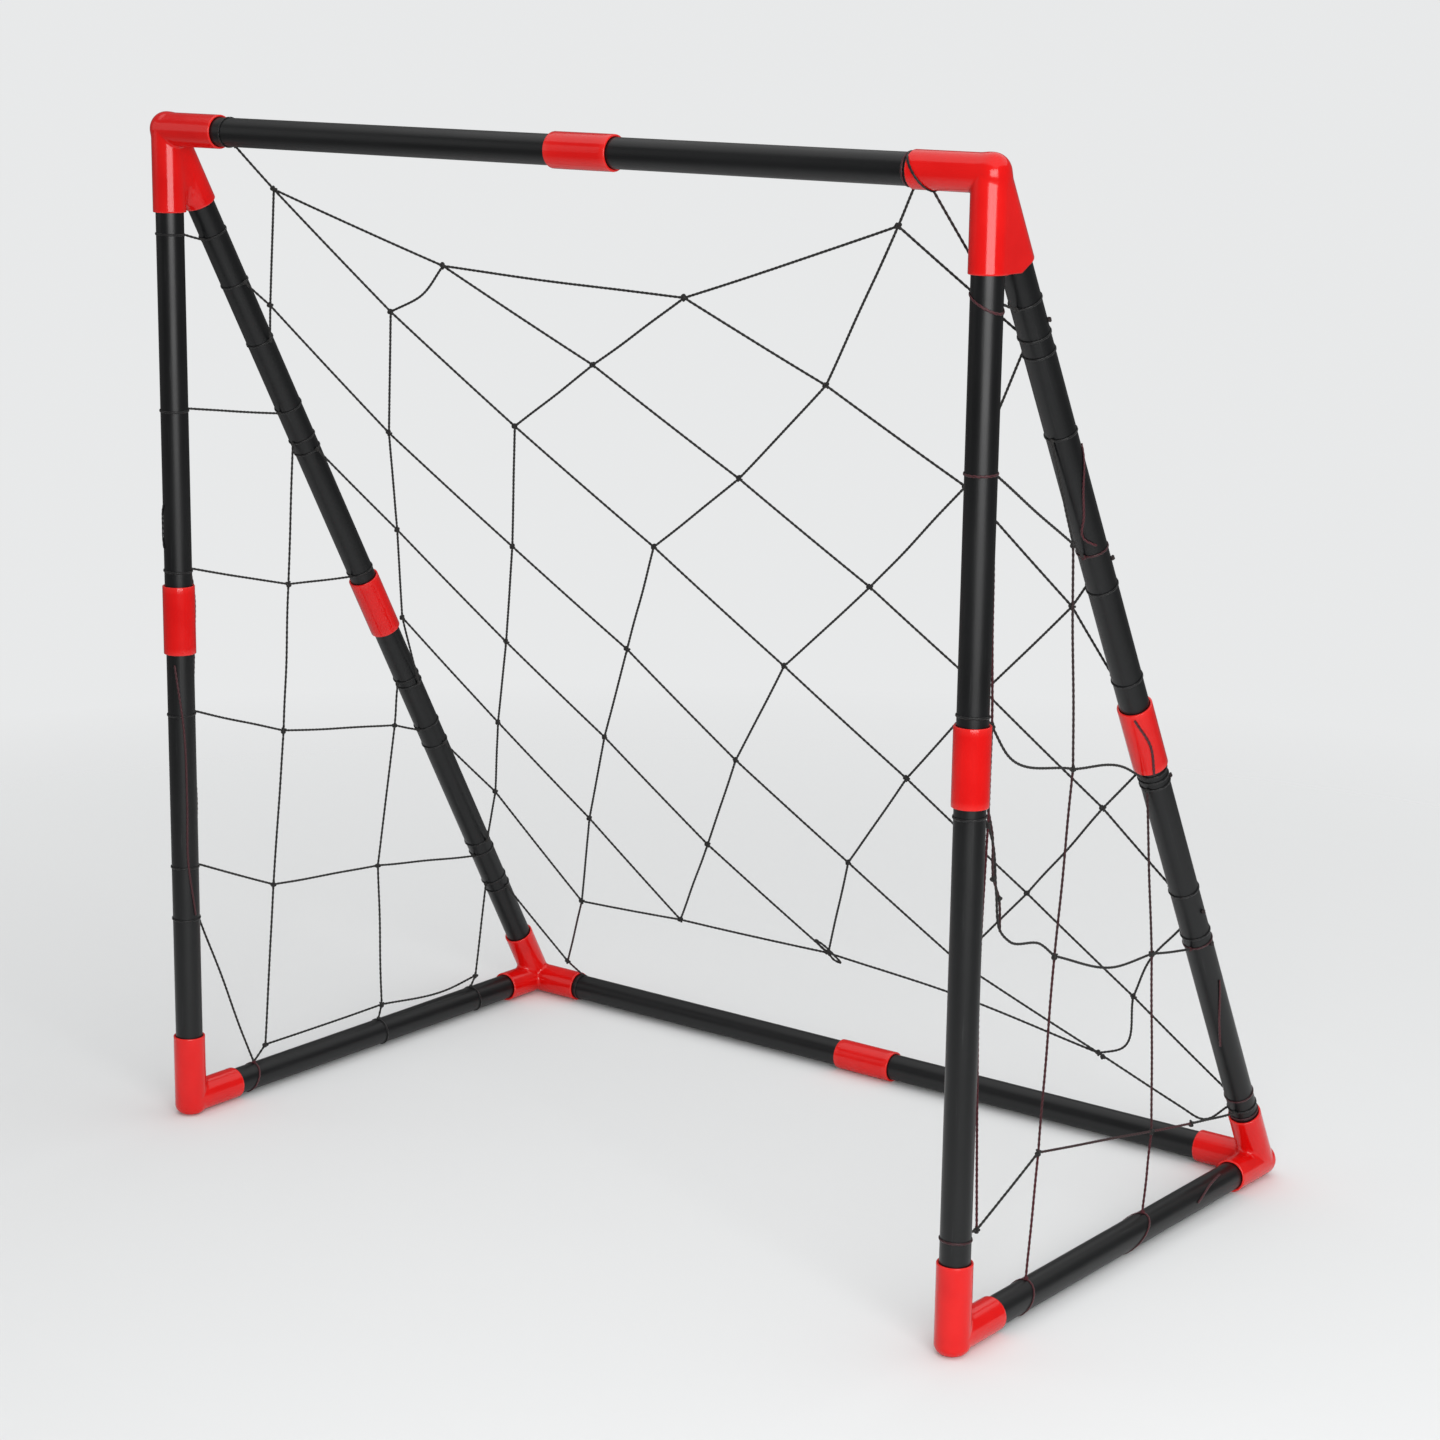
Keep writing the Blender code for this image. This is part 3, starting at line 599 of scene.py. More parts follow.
# %% Distances and fillets
corner_fillet, fork_fillet = 0.0050, 0.0120
crossbar_fillet, rear_bar_fillet = corner_fillet * 0.6, corner_fillet * 0.7
branch_rounding, bore_edge = 0.001, 0.0006


def length_of(vectors):
    """Length of each vector."""
    return np.sqrt(np.einsum("...i,...i->...", vectors, vectors))


def inside_both(first, second, edge):
    """Distance to where both are negative, with an edge rounded by the given radius.

    It is the length of what is positive, plus the larger where both are negative, less the radius.
    """
    return (np.minimum(np.maximum(first, second), 0)
            + np.hypot(np.maximum(first, 0), np.maximum(second, 0)) - edge)


def crease_fill(gap, width):
    """A quarter of h squared of the width, where h falls from 1 at no gap to 0 a width away."""
    h = np.maximum(width - np.abs(gap), 0) / width
    return h * h * width / 4


print("fill in a crease", round(float(crease_fill(0.0, corner_fillet)) * 1000, 2), "mm")


# %% Fields of sockets and bores
def arm(place, axis, reach, full, tail_rounding=corner_rounding):
    """Distance to a socket, and the way out of it.

    Across the axis it is the distance from the axis less the radius. Along it, it is the distance
    past the mouth or the tail. inside_both joins them.
    """
    tail = socket_radius if full else branch_tail
    along = place @ axis
    aside = place - along[..., None] * axis
    away = length_of(aside) + 1e-9
    middle, half = (reach - tail) / 2, (reach + tail) / 2
    edge = np.where(along > middle, mouth_rounding, tail_rounding if full else branch_rounding)
    beside = away - (socket_radius - edge)
    beyond = np.abs(along - middle) - (half - edge)
    return inside_both(beside, beyond, edge), aside / away[..., None]


def join(first, second, fillet):
    """Keeps the smaller distance, with a fillet that is full where the two surfaces face apart.

    Its width is the fillet times 1 less the cosine between the ways out. Where both surfaces face
    the same way there is no crease and no fillet.
    """
    (d1, n1), (d2, n2) = first, second
    width = fillet * np.clip(1 - np.einsum("...i,...i->...", n1, n2), 0, 1) + 1e-6
    nearer = (d1 < d2)[..., None]
    return np.minimum(d1, d2) - crease_fill(d1 - d2, width), np.where(nearer, n1, n2)


def bore(place, axis, stop):
    """Distance to the space that a tube goes into, from its stop outwards without end."""
    along = place @ axis
    away = length_of(place - along[..., None] * axis)
    return np.maximum(away - bore_radius, stop - along)


def take_away(body, hole):
    """The larger of the body's distance and the hole's, turned over, with a softened edge."""
    return np.maximum(body, -hole) + crease_fill(body + hole, bore_edge)


def foot_flat(place, body):
    """Keeps what is above the floor: the larger of the distance and the depth below the floor."""
    return np.maximum(body, -(place[..., 2] + axis_height))


heart, _ = arm(np.zeros((1, 3)), UP, elbow_reach["post"], True)
print("an axis lies", round(-heart[0] * 1000, 1), "mm inside its socket's skin")

# %% The top corner, as seen on the goal's right side
INWARD = -RIGHT
dome_rounding, bar_tail_rounding = socket_radius - 0.0002, 0.0125
plate_setback, plate_edge, plate_fillet = 0.0003, 0.0004, 0.003


def web_plate(place):
    """A plate across the outer side of the fork, web_thickness deep, flush with both sockets.

    Its outline has four sides: the two axes, and a line plate_setback short of each mouth.
    """
    back, high = place[..., 1], place[..., 2]
    outline = np.maximum.reduce([
        -back, high * STAY_DOWN[1] - back * STAY_DOWN[2],
        -top_reach["post"] + plate_setback - high,
        place @ STAY_DOWN - top_reach["stay"] + plate_setback])
    from_middle = np.abs(place[..., 0] - (socket_radius - web_thickness / 2))
    depth = from_middle - web_thickness / 2 + plate_edge
    return inside_both(outline + plate_edge, depth, plate_edge)


def top_corner(place):
    """Post, stay and crossbar sockets and the plate, joined, less their bores.

    The plate's fillet grows from nothing on its outer face to plate_fillet on its inner one.
    """
    post = arm(place, -UP, top_reach["post"], True, dome_rounding)
    stay = arm(place, STAY_DOWN, top_reach["stay"], False)
    bar = arm(place, INWARD, top_reach["bar"], True, bar_tail_rounding)
    body, _ = join(join(post, stay, fork_fillet), bar, crossbar_fillet)
    plate = web_plate(place)
    sunk = np.clip((socket_radius - place[..., 0]) / web_thickness, 0, 1)
    body = np.minimum(body, plate) - crease_fill(body - plate, plate_fillet * sunk + 1e-6)
    for axis, key in ((-UP, "post"), (STAY_DOWN, "stay"), (INWARD, "bar")):
        body = take_away(body, bore(place, axis, top_stop[key]))
    return body


print("top corner's plate is", web_thickness, "m thick")


# %% The two lower corners, as seen on the goal's right side
def front_elbow(place):
    """Post socket with the rounded tail, and the socket for the bar on the ground."""
    body, _ = join(arm(place, UP, elbow_reach["post"], True),
                   arm(place, BACK, elbow_reach["ground"], False), corner_fillet)
    for axis in (UP, BACK):
        body = take_away(body, bore(place, axis, low_stop))
    return foot_flat(place, body)


def rear_corner(place):
    """Ground bar socket with the rounded tail, rear bar socket and stay socket."""
    ground = arm(place, -BACK, rear_reach["ground"], True)
    bar = arm(place, INWARD, rear_reach["bar"], False)
    stay = arm(place, -STAY_DOWN, rear_reach["stay"], False)
    body, _ = join(join(ground, stay, corner_fillet), bar, rear_bar_fillet)
    for axis in (-BACK, INWARD, -STAY_DOWN):
        body = take_away(body, bore(place, axis, low_stop))
    return foot_flat(place, body)


print("lower corners reach", round(axis_height, 4), "m below their axes")

# %% The skin of a field
cell_size, slides = 0.0008, 3


def slope_of(field, points, small):
    """Slope along each axis: the difference over a small step each way, divided by two steps."""
    return np.stack([field(points + small * d) - field(points - small * d)
                     for d in np.eye(3)], axis=1) / (2 * small)


def skin_of(field, low, high, step=cell_size):
    """One point in each cell that the surface crosses, at the mean of its crossed edges.

    Every grid edge whose ends lie on either side of the surface gives one quad, between the four
    cells round it. Afterwards each point is slid along the slope of the field onto zero: the move
    is the distance times the slope, over the slope's length squared.
    """
    ticks = [np.arange(lo, hi + step, step) for lo, hi in zip(low, high)]
    place = np.stack(np.meshgrid(*ticks, indexing="ij"), axis=-1)
    value = field(place)
    inside = value < 0
    cells = tuple(n - 1 for n in value.shape)
    total, hits = np.zeros(cells + (3,)), np.zeros(cells)
    crossings = []
    for axis in range(3):
        near = np.take(value, range(value.shape[axis] - 1), axis)
        far = np.take(value, range(1, value.shape[axis]), axis)
        index = np.argwhere((near < 0) != (far < 0))
        index = index[np.all([(index[:, a] > 0) & (index[:, a] < cells[a] - 1)
                              for a in range(3)], axis=0)]
        at = tuple(index.T)
        share = near[at] / (near[at] - far[at])
        point = index.astype(float)
        point[:, axis] += share
        others = [a for a in range(3) if a != axis]
        round_edge = []
        for i, j in ((0, 0), (-1, 0), (-1, -1), (0, -1)):
            cell = index.copy()
            cell[:, others[0]] += i
            cell[:, others[1]] += j
            round_edge.append(cell)
            np.add.at(total, tuple(cell.T), point)
            np.add.at(hits, tuple(cell.T), 1)
        turned = (near[at] < 0) == (axis != 1)
        crossings.append((round_edge, turned))
    number = np.cumsum(hits.ravel() > 0).reshape(cells) - 1
    used = hits > 0
    points = np.array(low) + step * total[used] / hits[used][:, None]
    quads = []
    for round_edge, turned in crossings:
        quad = np.stack([number[tuple(cell.T)] for cell in round_edge], axis=1)
        quads.append(np.where(turned[:, None], quad, quad[:, ::-1]))
    for _ in range(slides):
        slope = slope_of(field, points, step * 0.05)
        steep = np.maximum((slope ** 2).sum(1), 0.3)[:, None]
        points -= np.clip(field(points)[:, None] * slope / steep, -step / 2, step / 2)
    return points, np.concatenate(quads)


ball, _ = skin_of(lambda place: length_of(place) - 0.01, (-0.012,) * 3, (0.012,) * 3)
print("skin of a 10 mm ball is off by at most",
      f"{np.abs(np.linalg.norm(ball, axis=1) - 0.01).max() * 1000:.5f}", "mm")

# %% Marks at creases and rims
crease_reach = 0.002


def corner_marks(points, field, arms):
    """rim is exp(-(d / rim_width)^2), d metres from a mouth along its axis.

    crease is three times how far the field's mean, crease_reach away on six sides, is under zero,
    as a share of crease_reach: a point in a hollow has plastic on most sides.
    """
    rim = np.zeros(len(points))
    for axis, reach in arms:
        along = points @ axis
        away = np.linalg.norm(points - along[:, None] * axis, axis=1)
        near = np.exp(-((along - reach) / rim_width) ** 2) * (away < socket_radius + 0.0005)
        rim = np.maximum(rim, near)
    around = sum(field(points + crease_reach * d) + field(points - crease_reach * d)
                 for d in np.eye(3)) / 6
    return rim, np.clip(-around / crease_reach * 3.0, 0, 1)


def make_corners(kind, field, centre, low, high, arms):
    """The right corner from the field between two block corners, and its mirror image."""
    points, quads = skin_of(field, low, high)
    rim, crease = corner_marks(points, field, arms)
    placed = points + np.asarray(centre)
    for hand, flip in (("right", (1, 1, 1)), ("left", (-1, 1, 1))):
        skin = Skin()
        skin.add(placed * flip, quads, rim=rim, crease=crease)
        node = kind + "_" + hand
        made = make_piece("red_" + node, skin, moulded_red, [node])
    print(kind, "triangles", triangle_count(made), "crease mean", round(crease.mean(), 3))


print("marks reach", crease_reach, "m into a crease and", rim_width, "m along a rim")

# %% Corners in their places
# Each block of points goes from its low to its high corner, in metres from the crossing of the
# axes, and leaves room past the plastic on every side.
pad = 0.003
reach_out = socket_radius + pad
make_corners("top_corner", top_corner, (half_width, front_y, top_z),
             (-top_reach["bar"] - pad, -reach_out, -0.082 - pad), (reach_out, 0.056, reach_out),
             [(-UP, top_reach["post"]), (STAY_DOWN, top_reach["stay"]), (INWARD, top_reach["bar"])])
make_corners("front_elbow", front_elbow, (half_width, front_y, axis_height),
             (-reach_out, -reach_out, -reach_out), (reach_out, 0.064 + pad, 0.060 + pad),
             [(UP, elbow_reach["post"]), (BACK, elbow_reach["ground"])])
make_corners("rear_corner", rear_corner, (half_width, rear_y, axis_height),
             (-0.059 - pad, -0.056, -reach_out), (reach_out, reach_out, 0.066),
             [(-BACK, rear_reach["ground"]), (INWARD, rear_reach["bar"]),
              (-STAY_DOWN, rear_reach["stay"])])

# %% [markdown]
# ## The net: where its knots and ties are
#
# The net hangs askew, and no two meshes are alike, so its knots are a chosen list. A knot of the
# back panel is given by its share across the width and its share down the stays. One of a side
# panel is given by its shares of the depth and the height. A tie is given by its tube and its
# share of that tube's bare stretch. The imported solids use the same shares. Only the left edge cord
# is drawn closer to its post here, where the photograph hides it, and the hem is kept straighter.

# %% Knots, bends, ties and cords of the back panel
back_knots = {
    "t1": (0.12, 0.054), "t2": (0.317, 0.118), "t3": (0.616, 0.129), "t4": (0.888, 0.049),
    "b4": (0.752, 0.20), "b5": (0.878, 0.283), "b6": (0.96, 0.389),
    "c3": (0.469, 0.204), "c4": (0.607, 0.304), "c5": (0.727, 0.40), "c6": (0.828, 0.494),
    "c7": (0.93, 0.602),
    "d2": (0.217, 0.17), "d3": (0.33, 0.278), "d4": (0.461, 0.391), "d5": (0.581, 0.504),
    "d6": (0.694, 0.611), "d7": (0.804, 0.722), "d8": (0.901, 0.823),
    "e1": (0.04, 0.176), "e2": (0.14, 0.303), "e3": (0.257, 0.415), "e4": (0.368, 0.516),
    "e5": (0.466, 0.629), "e6": (0.575, 0.731), "e7": (0.681, 0.829), "e8": (0.834, 0.908),
    "f2": (0.089, 0.416), "f3": (0.188, 0.533), "f4": (0.282, 0.632), "f5": (0.377, 0.747),
    "f6": (0.499, 0.859),
    "g2": (0.036, 0.525), "g3": (0.121, 0.64), "g4": (0.206, 0.746), "g5": (0.288, 0.861),
    "h3": (0.067, 0.737), "h4": (0.136, 0.868), "i4": (0.067, 0.965),
}
back_bends = {"slack_1": (0.268, 0.151), "slack_2": (0.93, 0.778), "slack_3": (0.865, 0.895),
              "hem_1": (0.67, 0.875), "hem_2": (0.94, 0.962), "hem_3": (0.922, 0.953)}
back_ties = {
    "bar_left": ("crossbar_left", 0.02), "bar_right": ("crossbar_right", 1.0),
    "left_1": ("stay_upper_left", 0.807), "left_2": ("stay_upper_left", 0.655),
    "left_3": ("stay_upper_left", 0.36), "left_4": ("stay_lower_left", 0.843),
    "left_5": ("stay_lower_left", 0.652), "left_6": ("stay_lower_left", 0.325),
    "left_7": ("stay_lower_left", 0.165), "foot": ("rear_bar_left", 0.0),
    "right_1": ("stay_upper_right", 0.858), "right_2": ("stay_upper_right", 0.285),
    "right_3": ("stay_upper_right", 0.06), "right_4": ("stay_lower_right", 0.983),
    "right_5": ("stay_lower_right", 0.667), "right_6": ("stay_lower_right", 0.545),
    "right_7": ("stay_lower_right", 0.055), "right_8": ("stay_lower_right", 0.0),
    "right_9": ("stay_upper_right", 0.82),
}
back_cords = (
    "bar_left t1 t2 t3 t4 bar_right",
    "t4 right_1",
    "t3 b4 b5 b6 right_3",
    "t2 c3 c4 c5 c6 c7 right_5",
    "t1 d2 d3 d4 d5 d6 d7 d8 right_7",
    "left_1 e1 e2 e3 e4 e5 e6 e7 e8",
    "left_3 f2 f3 f4 f5 f6",
    "g2 g3 g4 g5",
    "left_5 h3 h4",
    "t1 e1 left_2",
    "t2 slack_1 d2 e2 f2 g2 left_4",
    "t3 c3 d3 e3 f3 g3 h3 left_6",
    "t4 b4 c4 d4 e4 f4 g4 h4 i4 foot",
    "right_9 b5 c5 d5 e5 f5 g5",
    "right_2 b6 c6 d6 e6 f6",
    "right_4 c7 d7 e7",
    "right_6 slack_2 d8 slack_3 e8",
    "left_7 i4",
    "h4 g5 f6 hem_1 e8 hem_3 hem_2 right_8",
)
print("back panel:", len(back_knots), "knots,", len(back_ties), "ties,", len(back_cords), "cords")

# %% Knots, bends, ties and cords of the side panels
left_knots = {
    "c1": (0.279, 0.526), "d1": (0.26, 0.37), "d2": (0.567, 0.346),
    "e1": (0.226, 0.205), "e2": (0.515, 0.192),
    "f1": (0.197, 0.03), "f2": (0.522, 0.03), "f3": (0.804, 0.026),
}
left_bends = {"hem_1": (0.718, 0.021), "edge_1": (0.030, 0.80), "edge_2": (0.030, 0.64),
              "edge_3": (0.034, 0.548), "edge_4": (0.034, 0.476), "edge_5": (0.030, 0.32)}
left_ties = {
    "post_1": ("post_upper", 0.953), "post_2": ("post_upper", 0.475),
    "post_3": ("post_upper", 0.03), "post_4": ("post_lower", 0.853),
    "post_5": ("post_lower", 0.448), "post_6": ("post_lower", 0.31),
    "stay_1": ("stay_upper", 0.935), "stay_2": ("stay_upper", 0.393),
    "stay_3": ("stay_upper", 0.48), "stay_4": ("stay_upper", 0.015),
    "stay_5": ("stay_lower", 0.863), "stay_6": ("stay_lower", 0.713),
    "stay_7": ("stay_lower", 0.29), "stay_8": ("stay_lower", 0.193),
    "foot_1": ("ground_bar", 0.043), "foot_2": ("ground_bar", 0.512),
    "foot_3": ("ground_bar", 0.875),
}
left_cords = (
    "post_1 stay_1",
    "post_2 stay_3",
    "post_3 c1 stay_4",
    "post_4 d1 d2 stay_6",
    "post_5 e1 e2 stay_7",
    "post_6 foot_1",
    "stay_2 c1 d1 e1 f1 foot_1",
    "stay_5 d2 e2 f2 foot_2",
    "stay_8 f3 foot_3",
    "f1 f2 hem_1 f3",
    "post_1 edge_1 post_2 edge_2 post_3 edge_3 edge_4 post_4 edge_5 post_5 post_6",
)
right_knots = {
    "b1": (0.27, 0.68), "c0": (0.054, 0.54), "c1": (0.297, 0.478), "d0": (0.052, 0.455),
    "d1": (0.263, 0.311), "d2": (0.577, 0.272), "e0": (0.06, 0.088), "e1": (0.237, 0.131),
    "e2": (0.605, 0.093), "e3": (0.745, 0.079),
}
right_bends = {"loop_1": (0.067, 0.438), "loop_2": (0.082, 0.392), "loop_3": (0.098, 0.356),
               "loop_4": (0.126, 0.343), "loop_5": (0.219, 0.328), "sag_1": (0.101, 0.511),
               "sag_2": (0.46, 0.463), "sag_3": (0.454, 0.276), "sag_4": (0.648, 0.265),
               "sag_5": (0.247, 0.21), "sag_6": (0.40, 0.115), "edge_1": (0.036, 0.82),
               "edge_2": (0.045, 0.66), "edge_3": (0.042, 0.30)}
right_ties = {
    "post_1": ("post_upper", 0.95), "post_2": ("post_upper", 0.568),
    "post_3": ("post_upper", 0.01), "post_4": ("post_lower", 0.99),
    "post_5": ("post_lower", 0.043),
    "stay_1": ("stay_upper", 0.93), "stay_2": ("stay_upper", 0.642),
    "stay_3": ("stay_upper", 0.375), "stay_4": ("stay_lower", 1.0),
    "stay_5": ("stay_lower", 0.966), "stay_6": ("stay_lower", 0.52),
    "stay_7": ("stay_lower", 0.02), "foot_1": ("ground_bar", 0.098),
    "foot_2": ("ground_bar", 0.555),
}
right_cords = (
    "post_1 stay_1",
    "post_2 b1 stay_3",
    "post_3 c0 sag_1 c1 sag_2 stay_4",
    "post_4 d0 loop_1 loop_2 loop_3 loop_4 loop_5 d1 sag_3 d2 sag_4 stay_6",
    "post_5 e0 e1 sag_6 e2 e3 stay_7",
    "stay_2 b1 c1 d1 sag_5 e1 foot_1",
    "stay_5 d2 e2 foot_2",
    "post_1 edge_1 post_2 edge_2 c0 d0 edge_3 e0",
)
print("side panels:", len(left_cords), "and", len(right_cords), "cords")

# %% [markdown]
# ## The net: cord, knots and ties
#
# A cord is a figure-of-eight outline carried along a path and turned as it goes, which gives the
# two twisted strands. Each knot is a trefoil drawn tight, the shape that an overhand knot pulls
# into. Each tie is one turn of cord, pulled flat against its tube, and is knotted where the net's
# cord leaves it. Some ties on the goal's right side were pulled askew, so theirs are tilted.

# %% Paths through points
cord_fullness = 0.00108    # half the cord's width over the crowns of its strands
lay_length = 0.0095
ring_spacing = 0.00115
span_sag, span_sway = 0.003, 0.0025    # as shares of a span's length
sway_across, sway_out = 0.8, 0.6    # in the panel and out of it
draw = np.random.default_rng(seed=11)


def smooth_path(through, spacing):
    """A cubic through the given points, whose slope at each is that from its neighbours.

    Between two points it is h0 p + h1 q + h2 m + h3 n, with the four Hermite cubics of the share t.
    """
    through = np.asarray(through, float)
    gaps = np.linalg.norm(np.diff(through, axis=0), axis=1)
    knots = np.r_[0, np.cumsum(gaps)]
    slope = np.gradient(through, knots, axis=0) if len(through) > 2 else np.repeat(
        (through[1:] - through[:1]) / gaps[0], 2, axis=0)
    s = np.linspace(0, knots[-1], max(4, int(round(knots[-1] / spacing)) + 1))
    i = np.clip(np.searchsorted(knots, s, side="right") - 1, 0, len(gaps) - 1)
    t = ((s - knots[i]) / gaps[i])[:, None]
    g = gaps[i][:, None]
    return ((2 * t ** 3 - 3 * t ** 2 + 1) * through[i] + (3 * t ** 2 - 2 * t ** 3) * through[i + 1]
            + (t ** 3 - 2 * t ** 2 + t) * g * slope[i] + (t ** 3 - t ** 2) * g * slope[i + 1])


def hang(path, across):
    """Lowers a span by 4 t (1 - t) of its sag, and sways it by sin pi t sin(2 pi t + turn) lean."""
    length = np.linalg.norm(np.diff(path, axis=0), axis=1).sum()
    t = np.linspace(0, 1, len(path))[:, None]
    lean, turn = draw.normal(0, 1, 2)
    swing = np.sin(pi * t) * np.sin(2 * pi * t + turn) * lean
    return (path - UP * (span_sag * length * 4 * t * (1 - t))
            + across * (span_sway * length * swing))


straight = smooth_path([(0, 0, 0), (0.05, 0, 0), (0.1, 0, 0)], ring_spacing)
print("a 100 mm path has", len(straight), "rings")

# %% Laid cord
cord_columns, crown_height = 8, 0.13
fibre_stretch = 3
around_cord = full_turn(cord_columns)


def side_ways(path, reference, closed):
    """Forward along a path, sideways towards the reference, and up across both, all unit long."""
    if closed:
        forward = np.roll(path, -1, axis=0) - np.roll(path, 1, axis=0)
    else:
        forward = np.gradient(path, axis=0)
    forward /= np.linalg.norm(forward, axis=1)[:, None]
    lean = (forward @ reference if reference.ndim == 1 else
            np.einsum("ij,ij->i", forward, reference))
    side = reference - lean[:, None] * forward
    side /= np.linalg.norm(side, axis=1)[:, None]
    return forward, side, np.cross(forward, side)


def end_fans(rows):
    """Triangles from the first ring to a point after all rings, and from the last to the next."""
    ring = np.arange(cord_columns)
    following = (ring + 1) % cord_columns
    last, tips = (rows - 1) * cord_columns, rows * cord_columns
    return np.concatenate([np.c_[following, ring, np.full(cord_columns, tips)],
                           np.c_[last + ring, last + following, np.full(cord_columns, tips + 1)]])


print("a cord has", cord_columns, "columns and", len(end_fans(2)), "triangles at its ends")


# %% The skin of one cord
def add_laid_cord(skin, path, reference, tint, radius=cord_fullness, closed=False, press=1.0):
    """Rings of points round a path, swollen at two crowns, each ring turned a little more.

    A ring's point is path + radius (1 + c cos 2a) (press cos(a + w) side + sin(a + w) up), where c
    is crown_height, w grows by a full turn over each lay length, side is towards the reference,
    and press is below 1 for a cord pulled flat. groove is (1 - cos 2a) / 2.
    """
    forward, side, up = side_ways(path, reference, closed)
    run = np.r_[0, np.cumsum(np.linalg.norm(np.diff(path, axis=0), axis=1))]
    if closed:
        total = run[-1] + np.linalg.norm(path[-1] - path[0])
        turn = 2 * pi * run / total * max(1, round(total / lay_length))
    else:
        turn = 2 * pi * run / lay_length
    angle = around_cord[None] + turn[:, None]
    swell = radius * (1 + crown_height * np.cos(2 * around_cord))
    points = (path[:, None] + (swell * press * np.cos(angle))[..., None] * side[:, None]
              + (swell * np.sin(angle))[..., None] * up[:, None]).reshape(-1, 3)
    groove = np.tile(0.5 - 0.5 * np.cos(2 * around_cord), len(path))
    strand = np.stack([np.tile(radius * np.cos(around_cord), len(path)),
                       np.tile(radius * np.sin(around_cord), len(path)),
                       np.repeat(run / fibre_stretch, cord_columns)], axis=-1)
    tris = None
    if not closed:
        tris = end_fans(len(path))
        points = np.concatenate([points, path[:1] - forward[:1] * radius * 0.4,
                                 path[-1:] + forward[-1:] * radius * 0.4])
        groove = np.r_[groove, 0.5, 0.5]
        strand = np.concatenate([strand, strand[:1], strand[-1:]])
    count = len(points)
    skin.add(points, grid_faces(len(path), cord_columns, closed), tris, groove=groove,
             strand=strand, tint=np.full(count, tint), pressed=np.full(count, float(press < 1)))
    return run[-1]


trial = Skin()
trial_length = add_laid_cord(trial, straight, UP, tint=0.0)
print("a straight cord of", round(trial_length, 3), "m has", trial.count, "points")

# %% Knots and ties
knot_steps, tight_cord = 34, cord_fullness * 0.9
knot_size, extra_knot_size = 0.0025, 0.0022
tie_knot_size, tube_knot_size = 0.0013, 0.0014
tie_press, lap_press = 0.42, 0.6    # how flat a cord is pulled on a tube, as a share
tie_askew = 0.0005


def add_knot(skin, centre, normal, size, tint):
    """A trefoil: (sin t + 2 sin 2t, cos t - 2 cos 2t, -sin 3t), flattened along the normal."""
    t = full_turn(knot_steps) + draw.uniform(0, 2 * pi)
    side, across, axis = frame_along(normal)
    spin = draw.uniform(0, 2 * pi)
    flat = np.c_[np.sin(t) + 2 * np.sin(2 * t), np.cos(t) - 2 * np.cos(2 * t)] / 3 * size
    turn = np.array([[cos(spin), -sin(spin)], [sin(spin), cos(spin)]])
    flat = flat @ turn.T
    path = (np.asarray(centre) + flat[:, :1] * side + flat[:, 1:] * across
            - (np.sin(3 * t) * size * 0.5)[:, None] * axis)
    add_laid_cord(skin, path, axis, tint, tight_cord, closed=True)


def add_tie(skin, centre, axis, leaving, tint, tilt):
    """One turn round a tube, then a knot on it.

    A point is centre + radius (cos a leaving + sin a around) + axis (p cos a + q sin a), where p
    and q are the tilt.
    """
    radius = tube_radius + cord_fullness * tie_press
    angle = full_turn(tube_columns)
    spoke = spokes_at(angle, leaving, np.cross(axis, leaving))
    rise = tilt[0] * np.cos(angle) + tilt[1] * np.sin(angle)
    add_laid_cord(skin, centre + rise[:, None] * axis + radius * spoke, spoke, tint,
                  closed=True, press=tie_press)
    add_knot(skin, centre + leaving * (tube_radius + cord_fullness) + axis * tilt[0], leaving,
             tie_knot_size, tint)


print("a tie's turn is", round(2 * pi * (tube_radius + cord_fullness * tie_press), 4), "m long")

# %% Cord lying on tubes and sockets
loop_steps, loop_middle, loop_slant, climb_width = 120, 0.007, 0.010, 0.003


def add_lap(skin, tube, through, tint, over=tube_radius):
    """A cord lying on a tube, through (share of the bare stretch, degrees round) points.

    The points are joined on the unrolled tube, as (distance along, arc), and rolled up again. over
    is the radius of what it lies on, which past the bare stretch is a coupler.
    """
    start, end = bare[tube]
    side, across, axis = frame_along(end - start)
    radius = over + cord_fullness * lap_press
    share, degrees = np.array(through).T
    flat = np.c_[share * np.linalg.norm(end - start), np.radians(degrees) * radius, share * 0]
    flat = smooth_path(flat, ring_spacing)
    angle = flat[:, 1] / radius
    spoke = spokes_at(angle, side, across)
    path = start + flat[:, :1] * axis + radius * spoke
    add_laid_cord(skin, path, spoke, tint, press=lap_press)


def add_mouth_loop(skin, mouth, inward, tint):
    """A turn that slipped over a socket's mouth: low side on the socket, high side on the tube.

    A point is mouth + inward (middle - slant sin a) + radius (cos a front + sin a up). The radius
    grows from the tube's to the socket's by c c (3 - 2 c), where c goes from 0 to 1 over the
    climb_width about the mouth.
    """
    angle = full_turn(loop_steps)
    offset = loop_middle - loop_slant * np.sin(angle)
    climb = np.clip((offset + climb_width / 2) / climb_width, 0, 1)
    radius = (tube_radius + (socket_radius - tube_radius) * climb * climb * (3 - 2 * climb)
              + cord_fullness * lap_press)
    spoke = spokes_at(angle, -BACK, UP)
    path = mouth + offset[:, None] * inward + radius[:, None] * spoke
    add_laid_cord(skin, path, spoke, tint, closed=True, press=lap_press)


print("a lap stands", round(cord_fullness * lap_press * 2000, 2), "mm proud of its tube")


